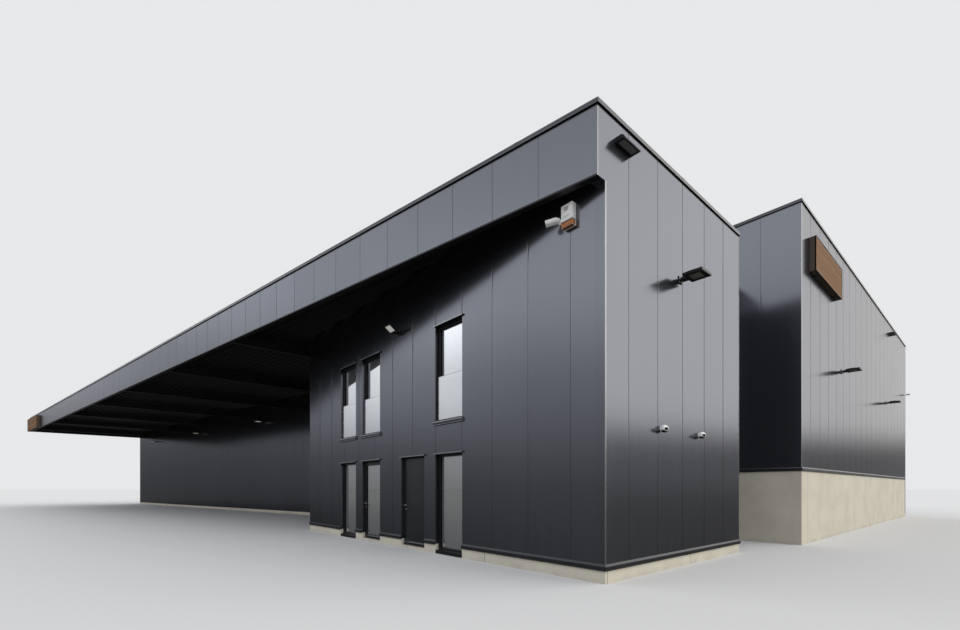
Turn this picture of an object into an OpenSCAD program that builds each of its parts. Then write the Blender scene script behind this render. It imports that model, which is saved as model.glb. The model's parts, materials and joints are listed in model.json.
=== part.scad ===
// Supermarket building, a 1:2 scale model in millimetres.
// A two-storey block and a taller hall share one cladding system of vertical metal panels.
// A long canopy leaves the block's near corner at a skew and shelters the recessed hall wall.
// The origin is the block's near front corner at ground level: +X to the right along the block's
// front wall, +Y back into the building, +Z up.

/* [Plan] */
// Width of the two-storey block along its front wall
block_w = 6320; // [5900:10:6800]
// Depth of the block from its front wall to the hall
block_d = 4230; // [4000:10:4500]
// Depth of the notch between the end of the block's right side and the hall
notch_d = 1400; // [1200:10:1600]
// Width of that notch
notch_w = 600; // [500:10:800]
// Distance that the hall steps out past the block's right side
hall_step = 295; // [200:5:450]
// Length of the hall's right side
hall_d = 9865; // [8800:5:10800]
// Length of the canopy's front edge
canopy_l = 26550; // [22000:10:29000]
// Length of the canopy's left end
canopy_end = 3895; // [3600:5:4000]
// Distance of the canopy's edge in front of the block's near corner
canopy_start = 106; // [90:1:160]
// Angle between the canopy's front edge and the block's front wall
skew = 10.3; // [9.5:0.05:11]

/* [Heights] */
// Top of the block's coping and the canopy's coping
block_h = 3879; // [3800:1:4100]
// Top of the hall's coping
hall_h = 4741; // [4500:1:5000]
// Height of the canopy's fascia with its coping
fascia_h = 611; // [560:1:640]
// Height of the canopy deck's ribs above the fascia's lower edge
deck_rise = 225; // [200:5:240]
// Top of the upper floor
upper_floor_z = 1500; // [1400:5:1550]
// Top of the concrete plinth's metal flashing
plinth_h = 160; // [140:5:200]
// Height of the hall's concrete base wall with its flashing
base_h = 1070; // [800:5:1150]
// Height of the thin plinth under the hall's other walls
low_plinth_h = 80; // [60:5:120]

/* [Walls, floors and roofs] */
// Thickness of a clad wall
wall_t = 100; // [90:1:120]
// Thickness of the canopy's fascia
fascia_t = 60; // [50:1:80]
// Thickness of the ground floor slabs
floor_t = 40; // [30:1:60]
// Thickness of the upper floor
upper_floor_t = 125; // [100:1:150]
// Thickness of a roof's insulated layer
roof_t = 100; // [80:1:120]
// Depth of the hall's roof below its coping
hall_roof_drop = 200; // [180:5:260]
// Height of a metal flashing over concrete
flashing_h = 45; // [35:1:60]
// Distance that a flashing stands proud of the wall
flashing_out = 14; // [8:1:20]
// Width of a movement joint between slabs
slab_joint = 5; // [3:1:10]
// Hairline that pieces keep from the skewed faces that they meet
seat = 0.3; // [0.2:0.1:0.5]

/* [Cladding panels] */
// Width of one cladding panel
panel = 500; // [450:5:600]
// Width of the open joint between panels
joint_w = 9; // [6:1:12]
// Depth of the open joint between panels
joint_d = 8; // [5:1:12]
// First panel of the block's front wall, from the near corner
front_first = 347; // [250:1:400]
// First panel of the block's right wall, from the near corner
side_first = 350; // [300:5:500]
// First panel of the canopy's fascia, from the near corner
fascia_first = 545; // [500:5:600]
// Corner panel of the hall's front wall
step_panel = 500; // [450:5:550]
// First panel of the hall's right wall, from its front corner
hall_first = 450; // [400:5:500]

/* [Copings] */
// Height of a coping with its shadow gap
coping_h = 60; // [40:1:80]
// Height of the coping's cap
cap_h = 38; // [25:1:50]
// Overhang of the cap past the wall's faces
cap_out = 10; // [6:1:15]
// Inset of the shadow gap under the cap
shadow_in = 10; // [6:1:15]
// Gap between two lengths of coping
coping_gap = 1; // [0.5:0.1:2]

/* [Canopy frame] */
// Width of one rib and one trough of the deck
deck_pitch = 140; // [120:1:180]
// Depth of the deck's ribs
deck_h = 50; // [40:1:70]
// Width of the flat bottom of a rib
rib_w = 44; // [30:1:60]
// Width of the flat top between two ribs
trough_w = 60; // [40:1:70]
// Thickness of the deck's sheet
sheet_t = 5; // [4:0.5:8]
// Spacing of the canopy's beams
beam_pitch = 3100; // [2800:10:3600]
// Distance from the block's left wall to the first beam
beam_first = 420; // [200:10:600]
// Depth of a beam
beam_h = 180; // [150:5:200]
// Width of a beam's flanges
beam_w = 90; // [70:5:120]
// Thickness of a beam's flanges
flange_t = 9; // [6:1:14]
// Thickness of a beam's web
web_t = 7; // [5:1:12]

/* [Openings] */
// Width of the first window and of the glazed opening under it
window_w = 500; // [440:5:520]
// Width of the other windows and of the openings under them
side_window_w = 535; // [500:5:560]
// Right edge of the first window, from the near corner
window_1 = 1847; // [1780:1:1900]
// Right edge of the second window, from the near corner
window_2 = 3695; // [3650:5:3740]
// Right edge of the third window, from the near corner
window_3 = 4450; // [4400:5:4600]
// Sill height of the upper windows
sill_z = 1570; // [1550:5:1650]
// Head height of the upper windows
head_z = 2705; // [2600:5:2850]
// Head height of the ground floor's openings
ground_head = 1185; // [1120:5:1250]
// Right edge of the solid door's opening, from the near corner
door_x = 2585; // [2500:5:2650]
// Width of the solid door's opening
door_w = 535; // [480:5:560]
// Depth of the reveal in front of a window frame
reveal = 42; // [34:1:60]
// Width of a window frame's members
frame_w = 34; // [26:1:40]
// Thickness of the glass
glass_t = 12; // [8:1:16]
// Height of the fall guard in front of an upper window
guard_h = 530; // [450:5:600]
// Thickness of the fall guard's glass
guard_t = 8; // [6:1:10]
// Width of the rails that hold a fall guard
guard_rail = 12; // [8:1:16]
// Distance that head and sill trims run past an opening
trim_past = 26; // [15:1:40]
// Distance that head and sill trims stand proud of the wall
trim_out = 22; // [15:1:30]
// Thickness of head and sill trims
trim_t = 10; // [6:1:14]
// Height of a sill's front lip
sill_lip = 45; // [20:5:60]

/* [Doors] */
// Clear gap round a door leaf
leaf_gap = 7; // [6.5:0.5:9]
// Thickness of a door leaf
leaf_t = 26; // [22:1:30]
// Depth of the leaf's face behind the wall's face
leaf_in = 42; // [38:1:45]
// Width of a door frame's jambs and head
jamb_w = 20; // [16:1:26]
// Distance that a door's stop reaches behind the leaf
stop_lap = 8; // [5:1:12]
// Hairline between two members of a door frame
frame_joint = 0.5; // [0.2:0.1:0.8]
// Radius of a hinge's barrel
hinge_r = 7; // [5:0.5:9]
// Length of a hinge's barrel
hinge_l = 60; // [40:1:80]
// Width of a hinge's plate beside its barrel
hinge_plate = 15; // [11:1:20]
// Running gap between the two halves of a hinge
hinge_gap = 0.3; // [0.2:0.1:0.5]
// Height of the door handles above the ground
handle_z = 555; // [480:5:600]
// Radius of a handle's rose
rose_r = 9; // [7:1:11]
// Radius of a handle's spindle
spindle_r = 5; // [4:0.5:6]
// Length of a handle's spindle
spindle_l = 30; // [24:1:34]
// Length of a handle's lever
lever_l = 62; // [50:1:70]
// Thickness of a handle's lever
lever_t = 8; // [6:1:10]
// Width of the glazed door's stiles and rails
stile_w = 44; // [34:1:55]

/* [Lights] */
// Width of a large floodlight's head
flood_w = 215; // [180:5:240]
// Depth of a large floodlight's head
flood_d = 185; // [150:5:200]
// Width of the tilted floodlight on the front wall
spot_w = 140; // [110:5:180]
// Depth of the tilted floodlight's head
spot_d = 120; // [90:5:160]
// Tilt of that floodlight's head
spot_tilt = 35; // [20:1:45]
// Thickness of a floodlight's head
flood_t = 24; // [18:1:30]
// Width of the rim round a floodlight's lens
flood_rim = 10; // [6:1:14]
// Length of a floodlight's arm, from the wall to the head
flood_arm = 75; // [60:5:90]
// Width of a floodlight's arm
arm_w = 24; // [18:1:30]
// Size of a floodlight's wall plate
plate_size = 70; // [50:5:80]
// Thickness of a floodlight's wall plate
plate_t = 8; // [5:1:10]
// Height of the block's floodlights
flood_z = 2845; // [2700:5:3000]
// Distance of the front wall's floodlight from the near corner
spot_x = 3190; // [3000:10:3300]
// Distance of the block's side floodlight behind the near corner
flood_back = 1295; // [1100:5:1500]
// Width of a wall light
wall_light_w = 250; // [200:5:300]
// Projection of a wall light
wall_light_d = 88; // [70:1:100]
// Height of a wall light
wall_light_h = 38; // [30:1:50]
// Height of the upright part of a wall light's front
wall_light_lip = 14; // [8:1:20]
// Distance of a wall light below the top of the cladding
wall_light_drop = 140; // [100:5:200]
// Distance of the block's wall light behind the near corner
wall_light_back = 265; // [200:1:350]
// Height of the hall's floodlights
hall_flood_z = 2755; // [2500:5:2900]
// Distance of the hall's first floodlight behind its front corner
hall_flood_first = 2320; // [1900:10:2400]
// Spacing of the hall's floodlights
hall_flood_pitch = 4350; // [4000:50:4700]
// Distance of the hall's wall light behind its front corner
hall_light_back = 7370; // [6800:10:7700]
// Distance of that light below the top of the cladding
hall_light_drop = 155; // [100:5:200]
// Height of the lights under the canopy
canopy_light_z = 2935; // [2800:5:3100]
// Distance of the first light under the canopy from the block's left wall
canopy_light_first = 2430; // [2000:10:2800]
// Spacing of the lights under the canopy
canopy_light_pitch = 5000; // [4500:50:5500]

/* [Cameras and alarm] */
// Radius of a camera's body
camera_r = 17; // [12:1:22]
// Radius of a camera's wall base
camera_base_r = 20; // [15:1:26]
// Thickness of a camera's wall base
camera_base_t = 8; // [5:1:12]
// Radius of a camera's arm
camera_arm_r = 6; // [4:1:9]
// Length of a camera's arm
camera_arm = 45; // [35:1:60]
// Length of a long camera's body
long_camera = 110; // [90:5:130]
// Length of a short camera's body
short_camera = 60; // [50:5:80]
// Height of the cameras on the block's right wall
side_camera_z = 1335; // [1200:5:1500]
// Distance of the first of them behind the near corner
side_camera_first = 915; // [800:5:1000]
// Spacing of those cameras
side_camera_pitch = 805; // [700:5:900]
// Distance of the hall's camera in front of its back corner
hall_camera_in = 190; // [100:10:300]
// Height of the hall's camera
hall_camera_z = 3350; // [3100:10:3500]
// Height of the alarm siren's middle
siren_z = 3125; // [3000:5:3150]
// Distance of the siren's middle from the near corner
siren_x = 350; // [250:5:450]
// Width of the siren
siren_w = 118; // [90:1:140]
// Height of the siren
siren_h = 190; // [150:5:210]
// Depth of the siren
siren_d = 50; // [40:1:60]
// Distance between the siren and the camera beside it
siren_gap = 45; // [30:1:80]

/* [Signs] */
// Length of the sign box on the hall's right side
sign_l = 1560; // [1300:10:1700]
// Height of the sign box on the hall's right side
sign_h = 485; // [400:5:500]
// Depth of the sign box on the hall's right side
sign_d = 76; // [50:1:80]
// Distance of that sign box behind the hall's front corner
sign_back = 390; // [250:5:450]
// Distance of that sign box's top below the top of the cladding
sign_drop = 335; // [250:5:450]
// Length of the sign box on the fascia
fascia_sign_l = 2220; // [1800:10:2400]
// Height of the sign box on the fascia
fascia_sign_h = 510; // [400:5:520]
// Depth of the sign box on the fascia
fascia_sign_d = 95; // [70:1:110]
// Distance of that sign box from the canopy's far corner
fascia_sign_in = 50; // [30:10:600]
// Distance that it hangs below the fascia's lower edge
fascia_sign_low = 10; // [0:5:80]
// Width of a sign box's rim
sign_rim = 12; // [8:1:20]
// Depth of a sign box's face behind its rim
sign_tray = 4; // [2:1:8]

/* [Hidden] */
$fn = 48;

eps = 0.01;
far = 40000;

// Plan lines. The canopy's edge and the recessed wall are parallel, at the skew angle.
x_left = -canopy_l * cos(skew);
y_back = block_d + hall_d;
y_side = block_d - notch_d;
function canopy_y(x, inset = 0) = -canopy_start + x * tan(skew) + inset / cos(skew);
y_corner = canopy_y(x_left);
function recess_y(x, inset = 0) = y_corner + canopy_end + (x - x_left) * tan(skew) + inset / cos(skew);
// Lines of the pieces that seat on the recessed wall's two faces and on the fascia's inner face
function recess_front_y(x) = recess_y(x, -seat);
function recess_back_y(x) = recess_y(x, wall_t + seat);
function fascia_back_y(x) = canopy_y(x, fascia_t + seat);
x_leg = -block_w - wall_t;

// Levels
fascia_z = block_h - fascia_h;
deck_z = fascia_z + deck_rise;
roof_z = deck_z + deck_h;
block_wall_top = block_h - coping_h;
hall_wall_top = hall_h - coping_h;
hall_roof_z = hall_h - hall_roof_drop - roof_t;
plinth_top = plinth_h - flashing_h;
base_top = base_h - flashing_h;

// Colours
anthracite = [0.17, 0.18, 0.20];
dark_metal = [0.09, 0.095, 0.10];
concrete = [0.66, 0.64, 0.58];
screed = [0.52, 0.51, 0.49];
glass = [0.62, 0.70, 0.72, 0.4];
roofing = [0.32, 0.33, 0.34];
white = [0.86, 0.87, 0.86];
brown = [0.42, 0.29, 0.18];
steel = [0.70, 0.71, 0.72];

// A vertical prism on a plan outline, from z0 to z1
module prism(outline, z0, z1) {
    translate([0, 0, z0]) linear_extrude(z1 - z0) polygon(outline);
}

// A box from its lowest to its highest corner
module block(a, b) {
    translate(a) cube(b - a);
}

// Open joints across a panelled face that starts at a plan point and runs at an angle;
// the face's outer side is on the right of the run
module joints(start, angle, first, length) {
    for (s = [first : panel : length - joint_w])
        translate([start[0], start[1], 0]) rotate([0, 0, angle])
            translate([s - joint_w / 2, -eps, -far / 2]) cube([joint_w, joint_d + eps, far]);
}

// Joints of the block's front wall, which stay in line above and below its openings
module front_joints() {
    mirror([1, 0, 0]) joints([0, 0], 0, front_first, block_w);
}

// Plan of the block's inside, with the notch in its back right corner
block_room = [
    [-block_w + wall_t, wall_t], [-wall_t, wall_t], [-wall_t, y_side - wall_t],
    [-notch_w - wall_t, y_side - wall_t], [-notch_w - wall_t, block_d], [-block_w + wall_t, block_d]
];
// Plan of the block's right wall, which turns in at the notch and runs on to the hall
right_wall_plan = [
    [0, 0], [0, y_side], [-notch_w, y_side], [-notch_w, block_d], [-notch_w - wall_t, block_d],
    [-notch_w - wall_t, y_side - wall_t], [-wall_t, y_side - wall_t], [-wall_t, 0]
];

// Floors
module block_floor() {
    color(screed) prism(block_room, 0, floor_t);
}

module upper_floor() {
    color(screed) prism(block_room, upper_floor_z - upper_floor_t, upper_floor_z);
}

// Plan of the hall inside its walls: an oblique bay behind the canopy and a bay behind the block
hall_bay_oblique = [
    [x_left + wall_t, recess_back_y(x_left + wall_t)], [x_leg, recess_back_y(x_leg)],
    [x_leg, y_back - wall_t], [x_left + wall_t, y_back - wall_t]
];
hall_bay_square = [
    [x_leg + slab_joint, block_d + wall_t], [hall_step - wall_t, block_d + wall_t],
    [hall_step - wall_t, y_back - wall_t], [x_leg + slab_joint, y_back - wall_t]
];

module hall_floor() {
    color(screed) {
        prism(hall_bay_oblique, 0, floor_t);
        prism(hall_bay_square, 0, floor_t);
    }
}

// Openings of the ground floor, each [right edge, width] from the near corner
ground_openings = [
    [window_1, window_w], [door_x, door_w], [window_2, side_window_w], [window_3, side_window_w]
];
// Upper windows and fixed ground lights, in the same form
upper_windows = [[window_1, window_w], [window_2, side_window_w], [window_3, side_window_w]];
glazed_bays = [[window_1, window_w], [window_3, side_window_w]];

module thresholds() {
    color(concrete)
        for (o = ground_openings)
            block([-o[0] - o[1], 0, 0], [-o[0], wall_t, floor_t]);
}

// Solid stretches of the front wall between its ground floor openings, from right to left
module ground_piers(z0, z1) {
    for (i = [0 : len(ground_openings) - 2])
        block([-ground_openings[i + 1][0], 0, z0],
              [-ground_openings[i][0] - ground_openings[i][1], wall_t, z1]);
}

front_end = window_3 + side_window_w;

module front_plinth() {
    color(concrete) {
        block([-window_1, 0, 0], [-wall_t, wall_t, plinth_top]);
        ground_piers(0, plinth_top);
        block([-block_w, 0, 0], [-front_end, wall_t, plinth_top]);
    }
}

module side_plinths() {
    color(concrete) {
        prism(right_wall_plan, 0, plinth_top);
        block([-block_w, wall_t, 0], [-block_w + wall_t, block_d, plinth_top]);
    }
}

module hall_base_wall() {
    color(concrete) {
        block([hall_step - wall_t, block_d, 0], [hall_step, y_back - wall_t, base_top]);
        block([-notch_w, block_d, 0], [hall_step - wall_t - coping_gap, block_d + wall_t, base_top]);
    }
}

module recess_plinth() {
    color(concrete)
        prism([[x_left, recess_y(x_left)], [-block_w, recess_y(-block_w)],
               [-block_w, recess_y(-block_w, wall_t)], [x_left, recess_y(x_left, wall_t)]], 0, low_plinth_h);
}

module rear_plinths() {
    color(concrete) {
        prism([[x_left, recess_back_y(x_left)], [x_left + wall_t, recess_back_y(x_left + wall_t)],
               [x_left + wall_t, y_back - wall_t - slab_joint], [x_left, y_back - wall_t - slab_joint]],
              0, low_plinth_h);
        block([x_left, y_back - wall_t, 0], [hall_step, y_back, low_plinth_h]);
    }
}

// Flashing over a plinth along +X: a rail under the wall with a drip nose in front of it
module flashing(length) {
    rotate([90, 0, 90]) linear_extrude(length)
        polygon([[wall_t, 0], [0, 0], [0, -flashing_h / 6], [-flashing_out, -flashing_h / 6],
                 [-flashing_out, flashing_h * 0.6], [0, flashing_h], [wall_t, flashing_h]]);
}

// Takes off what lies to the right of a mitre line that runs at an angle through a plan corner
module mitred(corner, angle) {
    difference() {
        children();
        translate([corner[0], corner[1], -far / 2]) rotate([0, 0, angle])
            translate([-far / 2, coping_gap / 2 - far, 0]) cube(far);
    }
}

module plinth_flashings() {
    side_l = y_side + 2 * flashing_out;
    color(dark_metal) {
        mitred([0, 0], 135) translate([-window_1, 0, plinth_top]) flashing(window_1 + flashing_out);
        for (i = [0 : len(ground_openings) - 2]) {
            right = -ground_openings[i][0] - ground_openings[i][1];
            left = -ground_openings[i + 1][0];
            translate([left, 0, plinth_top]) flashing(right - left);
        }
        translate([-block_w, 0, plinth_top]) flashing(block_w - front_end);
        mitred([0, 0], -45) mitred([0, y_side], -135)
            translate([0, -flashing_out, plinth_top]) rotate([0, 0, 90]) flashing(side_l);
        mitred([0, y_side], 45) mitred([-notch_w, y_side], -135)
            translate([flashing_out, y_side, plinth_top]) rotate([0, 0, 180])
                flashing(flashing_out + notch_w + wall_t);
        mitred([-notch_w, y_side], 45)
            translate([-notch_w, y_side - wall_t, plinth_top]) rotate([0, 0, 90]) flashing(notch_d + wall_t);
        mitred([hall_step, block_d], -45)
            translate([hall_step, block_d - flashing_out, base_top]) rotate([0, 0, 90])
                flashing(hall_d - wall_t + flashing_out);
        mitred([hall_step, block_d], 135)
            translate([-notch_w, block_d, base_top]) flashing(notch_w + hall_step + flashing_out);
    }
}

// Front wall of the block, in pieces beside, between and over its openings
module front_wall_right() {
    color(anthracite) difference() {
        block([-window_1, 0, plinth_h], [-wall_t, wall_t, roof_z]);
        front_joints();
    }
}

module front_wall_left() {
    color(anthracite) difference() {
        block([-block_w, 0, plinth_h], [-front_end, wall_t, roof_z]);
        front_joints();
    }
}

module front_wall_piers() {
    color(anthracite) difference() {
        ground_piers(plinth_h, ground_head);
        front_joints();
    }
}

module front_wall_spandrel() {
    color(anthracite) difference() {
        block([-front_end, 0, ground_head], [-window_1, wall_t, sill_z]);
        front_joints();
    }
}

module front_wall_upper_piers() {
    color(anthracite) difference() {
        for (i = [0 : len(upper_windows) - 2])
            block([-upper_windows[i + 1][0], 0, sill_z],
                  [-upper_windows[i][0] - upper_windows[i][1], wall_t, head_z]);
        front_joints();
    }
}

module front_wall_top() {
    color(anthracite) difference() {
        block([-front_end, 0, head_z], [-window_1, wall_t, roof_z]);
        front_joints();
    }
}

module block_right_wall() {
    color(anthracite) difference() {
        prism(right_wall_plan, plinth_h, block_wall_top);
        joints([0, 0], 90, side_first, y_side);
        joints([-notch_w, y_side], 90, panel, notch_d);
    }
}

module block_left_wall() {
    color(anthracite) difference() {
        block([-block_w, wall_t, plinth_top], [-block_w + wall_t, block_d, roof_z]);
        translate([0, block_d, 0]) joints([-block_w, 0], -90, panel, block_d - wall_t);
    }
}

// Front wall of the hall: the part that shows beside the block, the stretch behind the block, and the
// short leg that closes the corner between that stretch and the oblique wall
module hall_front_wall() {
    color(anthracite) {
        difference() {
            union() {
                block([-block_w + coping_gap, block_d, 0], [-notch_w, block_d + wall_t, hall_wall_top]);
                block([-notch_w - eps, block_d, base_h], [hall_step, block_d + wall_t, hall_wall_top]);
            }
            joints([-notch_w, block_d], 0, notch_w + hall_step - step_panel, notch_w + hall_step);
        }
        prism([[x_leg, recess_back_y(x_leg)], [-block_w, recess_back_y(-block_w)],
               [-block_w, block_d + wall_t], [x_leg, block_d + wall_t]], 0, hall_wall_top);
    }
}

module hall_right_wall() {
    color(anthracite) difference() {
        block([hall_step - wall_t, block_d + wall_t, base_h], [hall_step, y_back - wall_t, hall_wall_top]);
        joints([hall_step, block_d], 90, hall_first, hall_d - wall_t);
    }
}

module hall_back_wall() {
    color(anthracite) difference() {
        block([x_left, y_back - wall_t, low_plinth_h], [hall_step, y_back, hall_wall_top]);
        joints([hall_step, y_back], 180, panel, hall_step - x_left);
    }
}

module hall_left_wall() {
    color(anthracite) difference() {
        prism([[x_left, recess_back_y(x_left)], [x_left + wall_t, recess_back_y(x_left + wall_t)],
               [x_left + wall_t, y_back - wall_t], [x_left, y_back - wall_t]], low_plinth_h, hall_wall_top);
        joints([x_left, y_back], -90, panel, y_back - recess_y(x_left, wall_t));
    }
}

module recess_wall() {
    color(anthracite) difference() {
        prism([[x_left, recess_y(x_left)], [-block_w, recess_y(-block_w)],
               [-block_w, recess_y(-block_w, wall_t)], [x_left, recess_y(x_left, wall_t)]],
              low_plinth_h, hall_wall_top);
        joints([x_left, recess_y(x_left)], skew, panel, (-block_w - x_left) / cos(skew));
    }
}

// Plan of the roof over the block and the wedge of canopy in front of it
block_roof_plan = [
    [-wall_t, fascia_back_y(-wall_t)], [-wall_t, y_side - wall_t],
    [-notch_w - wall_t, y_side - wall_t], [-notch_w - wall_t, block_d],
    [-block_w, block_d], [-block_w, fascia_back_y(-block_w)]
];
// Plan of the open canopy, from the block's left wall to its far end
canopy_plan = [
    [-block_w, fascia_back_y(-block_w)], [-block_w, recess_front_y(-block_w)],
    [x_left + fascia_t, recess_front_y(x_left + fascia_t)],
    [x_left + fascia_t, fascia_back_y(x_left + fascia_t)]
];
// Plan of the canopy's wedge in front of the block's front wall
wedge_plan = [
    [-wall_t, fascia_back_y(-wall_t)], [-wall_t, 0],
    [-block_w + coping_gap, 0], [-block_w + coping_gap, fascia_back_y(-block_w + coping_gap)]
];

module block_roof() {
    color(roofing) prism(block_roof_plan, roof_z, roof_z + roof_t);
}

module canopy_roof() {
    color(roofing) prism(canopy_plan, roof_z, roof_z + roof_t);
}

module hall_roof() {
    color(roofing) {
        prism(hall_bay_oblique, hall_roof_z, hall_roof_z + roof_t);
        prism(hall_bay_square, hall_roof_z, hall_roof_z + roof_t);
    }
}

// Lower outline of the ribbed sheet across the canopy: flat troughs above, flat ribs below
slope_w = (deck_pitch - rib_w - trough_w) / 2;
deck_span = canopy_end * cos(skew) + deck_pitch;
rib_steps = [[0, deck_h], [trough_w, deck_h], [trough_w + slope_w, 0], [trough_w + slope_w + rib_w, 0]];
deck_line = [
    for (s = [0 : deck_pitch : deck_span], p = rib_steps) [s + p[0], p[1] * (deck_h - sheet_t) / deck_h]
];
deck_outline = concat(deck_line, [for (i = [len(deck_line) - 1 : -1 : 0]) deck_line[i] + [0, sheet_t]]);

// The sheet runs along the canopy, with its ribs parallel to the fascia
module deck_sheet() {
    translate([0, canopy_y(0), deck_z]) rotate([0, 0, skew])
        translate([-canopy_l - deck_span, 0, 0]) rotate([90, 0, 90])
            linear_extrude(canopy_l + 2 * deck_span) polygon(deck_outline);
}

module canopy_deck() {
    color(dark_metal) {
        intersection() {
            deck_sheet();
            prism(canopy_plan, deck_z - eps, roof_z);
        }
        intersection() {
            deck_sheet();
            prism(wedge_plan, deck_z - eps, roof_z);
        }
    }
}

beam_count = floor((-block_w - beam_first - beam_w / 2 - x_left - fascia_t) / beam_pitch) + 1;

// Rolled section across +Y, hung under the deck's ribs
module beam_section() {
    translate([-beam_w / 2, 0]) square([beam_w, flange_t]);
    translate([-beam_w / 2, beam_h - flange_t]) square([beam_w, flange_t]);
    translate([-web_t / 2, 0]) square([web_t, beam_h]);
}

module canopy_beams() {
    color(dark_metal) intersection() {
        for (i = [0 : beam_count - 1])
            translate([-block_w - beam_first - i * beam_pitch, block_d, deck_z - beam_h])
                rotate([90, 0, 0]) linear_extrude(far) beam_section();
        prism(canopy_plan, deck_z - beam_h, deck_z);
    }
}

module fascia() {
    color(anthracite) difference() {
        prism([[0, canopy_y(0)], [x_left, y_corner],
               [x_left + fascia_t, canopy_y(x_left + fascia_t, fascia_t)], [0, canopy_y(0, fascia_t)]],
              fascia_z, block_wall_top);
        mirror([1, 0, 0]) joints([0, canopy_y(0)], -skew, fascia_first, canopy_l);
    }
}

// Left end of the fascia, panelled on both faces, and the short return at the near corner
module fascia_ends() {
    color(anthracite) {
        difference() {
            prism([[x_left, y_corner], [x_left, recess_front_y(x_left)],
                   [x_left + fascia_t, recess_front_y(x_left + fascia_t)],
                   [x_left + fascia_t, canopy_y(x_left + fascia_t, fascia_t)]], fascia_z, block_wall_top);
            joints([x_left, recess_y(x_left)], -90, panel, canopy_end);
            joints([x_left + fascia_t, y_corner], 90, panel, canopy_end);
        }
        prism([[0, canopy_y(0, fascia_t)], [-wall_t, canopy_y(-wall_t, fascia_t)], [-wall_t, 0], [0, 0]],
              fascia_z, block_wall_top);
    }
}

// A length of coping on a wall whose plan corners are given from the outside of one end round to
// its inside: a neck in the shadow gap and a cap that overhangs
module coping(neck, cap, z) {
    prism(neck, z, z + coping_h - cap_h);
    prism(cap, z + coping_h - cap_h, z + coping_h);
}

// A thin slot that parts two lengths of coping along their mitre
module mitre_slot(a, b) {
    d = b - a;
    translate([a[0], a[1], 0]) rotate([0, 0, atan2(d[1], d[0])])
        translate([-panel / 2, -coping_gap / 2, 0]) cube([norm(d) + panel, coping_gap, far]);
}

function fascia_run(o) = [
    [o, canopy_y(o, -o)], [x_left - o, canopy_y(x_left - o, -o)],
    [x_left + fascia_t + o, canopy_y(x_left + fascia_t + o, fascia_t + o)],
    [-wall_t - o, canopy_y(-wall_t - o, fascia_t + o)]
];
function end_run(o) = [
    [x_left - o, canopy_y(x_left - o, -o)], [x_left - o, recess_front_y(x_left - o)],
    [x_left + fascia_t + o, recess_front_y(x_left + fascia_t + o)],
    [x_left + fascia_t + o, canopy_y(x_left + fascia_t + o, fascia_t + o)]
];
function block_run(o) = [
    [o, canopy_y(o, -o)], [-wall_t - o, canopy_y(-wall_t - o, fascia_t + o)],
    [-wall_t - o, y_side - wall_t - o], [o, y_side + o]
];
// The notch's two lengths of coping, along its front and along its side
function notch_front_run(o) = [
    [o, y_side + o], [-wall_t - o, y_side - wall_t - o],
    [-notch_w - wall_t - o, y_side - wall_t - o], [-notch_w + o, y_side + o]
];
function notch_side_run(o) = [
    [-notch_w + o, y_side + o], [-notch_w - wall_t - o, y_side - wall_t - o],
    [-notch_w - wall_t - o, block_d], [-notch_w + o, block_d]
];

module canopy_copings() {
    near = fascia_run(cap_out);
    notch = notch_front_run(cap_out);
    color(dark_metal) difference() {
        union() {
            coping(fascia_run(-shadow_in), fascia_run(cap_out), block_wall_top);
            coping(end_run(-shadow_in), end_run(cap_out), block_wall_top);
            coping(block_run(-shadow_in), block_run(cap_out), block_wall_top);
            coping(notch_front_run(-shadow_in), notch_front_run(cap_out), block_wall_top);
            coping(notch_side_run(-shadow_in), notch_side_run(cap_out), block_wall_top);
        }
        mitre_slot(near[0], near[3]);
        mitre_slot(near[1], near[2]);
        mitre_slot(notch[0], notch[1]);
        mitre_slot(notch[3], notch[2]);
    }
}

// Corners of the hall's wall in plan, moved out by o on its outer face and in by o on its inner face
function hall_outer(o) = [
    [x_left - o, recess_y(x_left - o, -o)], [-block_w + o, recess_y(-block_w + o, -o)],
    [-block_w + o, block_d - o], [hall_step + o, block_d - o],
    [hall_step + o, y_back + o], [x_left - o, y_back + o]
];
function hall_inner(o) = [
    [x_left + wall_t + o, recess_y(x_left + wall_t + o, wall_t + o)],
    [x_leg - o, recess_y(x_leg - o, wall_t + o)],
    [x_leg - o, block_d + wall_t + o], [hall_step - wall_t - o, block_d + wall_t + o],
    [hall_step - wall_t - o, y_back - wall_t - o], [x_left + wall_t + o, y_back - wall_t - o]
];
function hall_run(i, o) = [
    hall_outer(o)[i], hall_outer(o)[(i + 1) % 6], hall_inner(o)[(i + 1) % 6], hall_inner(o)[i]
];

module hall_copings() {
    color(dark_metal) difference() {
        for (i = [0 : 5]) coping(hall_run(i, -shadow_in), hall_run(i, cap_out), hall_wall_top);
        for (i = [0 : 5]) mitre_slot(hall_outer(cap_out)[i], hall_inner(cap_out)[i]);
    }
}

// A window frame in an opening w wide, from z0 to z1, behind its reveal
module window_frame(x, w, z0, z1) {
    difference() {
        block([-x - w, reveal, z0], [-x, wall_t, z1]);
        block([-x - w + frame_w, reveal - 1, z0 + frame_w], [-x - frame_w, wall_t + 1, z1 - frame_w]);
    }
}

module guard_rails(x, w) {
    for (s = [-x - w, -x - guard_rail])
        block([s, reveal - guard_rail - guard_t, sill_z + trim_t],
              [s + guard_rail, reveal, sill_z + guard_h]);
}

module window_frames() {
    color(dark_metal) {
        for (o = upper_windows) {
            window_frame(o[0], o[1], sill_z, head_z);
            guard_rails(o[0], o[1]);
        }
        for (o = glazed_bays) window_frame(o[0], o[1], floor_t, ground_head);
    }
}

// A pane that fills a frame, in the middle of the frame's depth
module pane(x, w, z0, z1) {
    mid = (reveal + wall_t) / 2;
    block([-x - w + frame_w, mid - glass_t / 2, z0 + frame_w],
          [-x - frame_w, mid + glass_t / 2, z1 - frame_w]);
}

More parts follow.
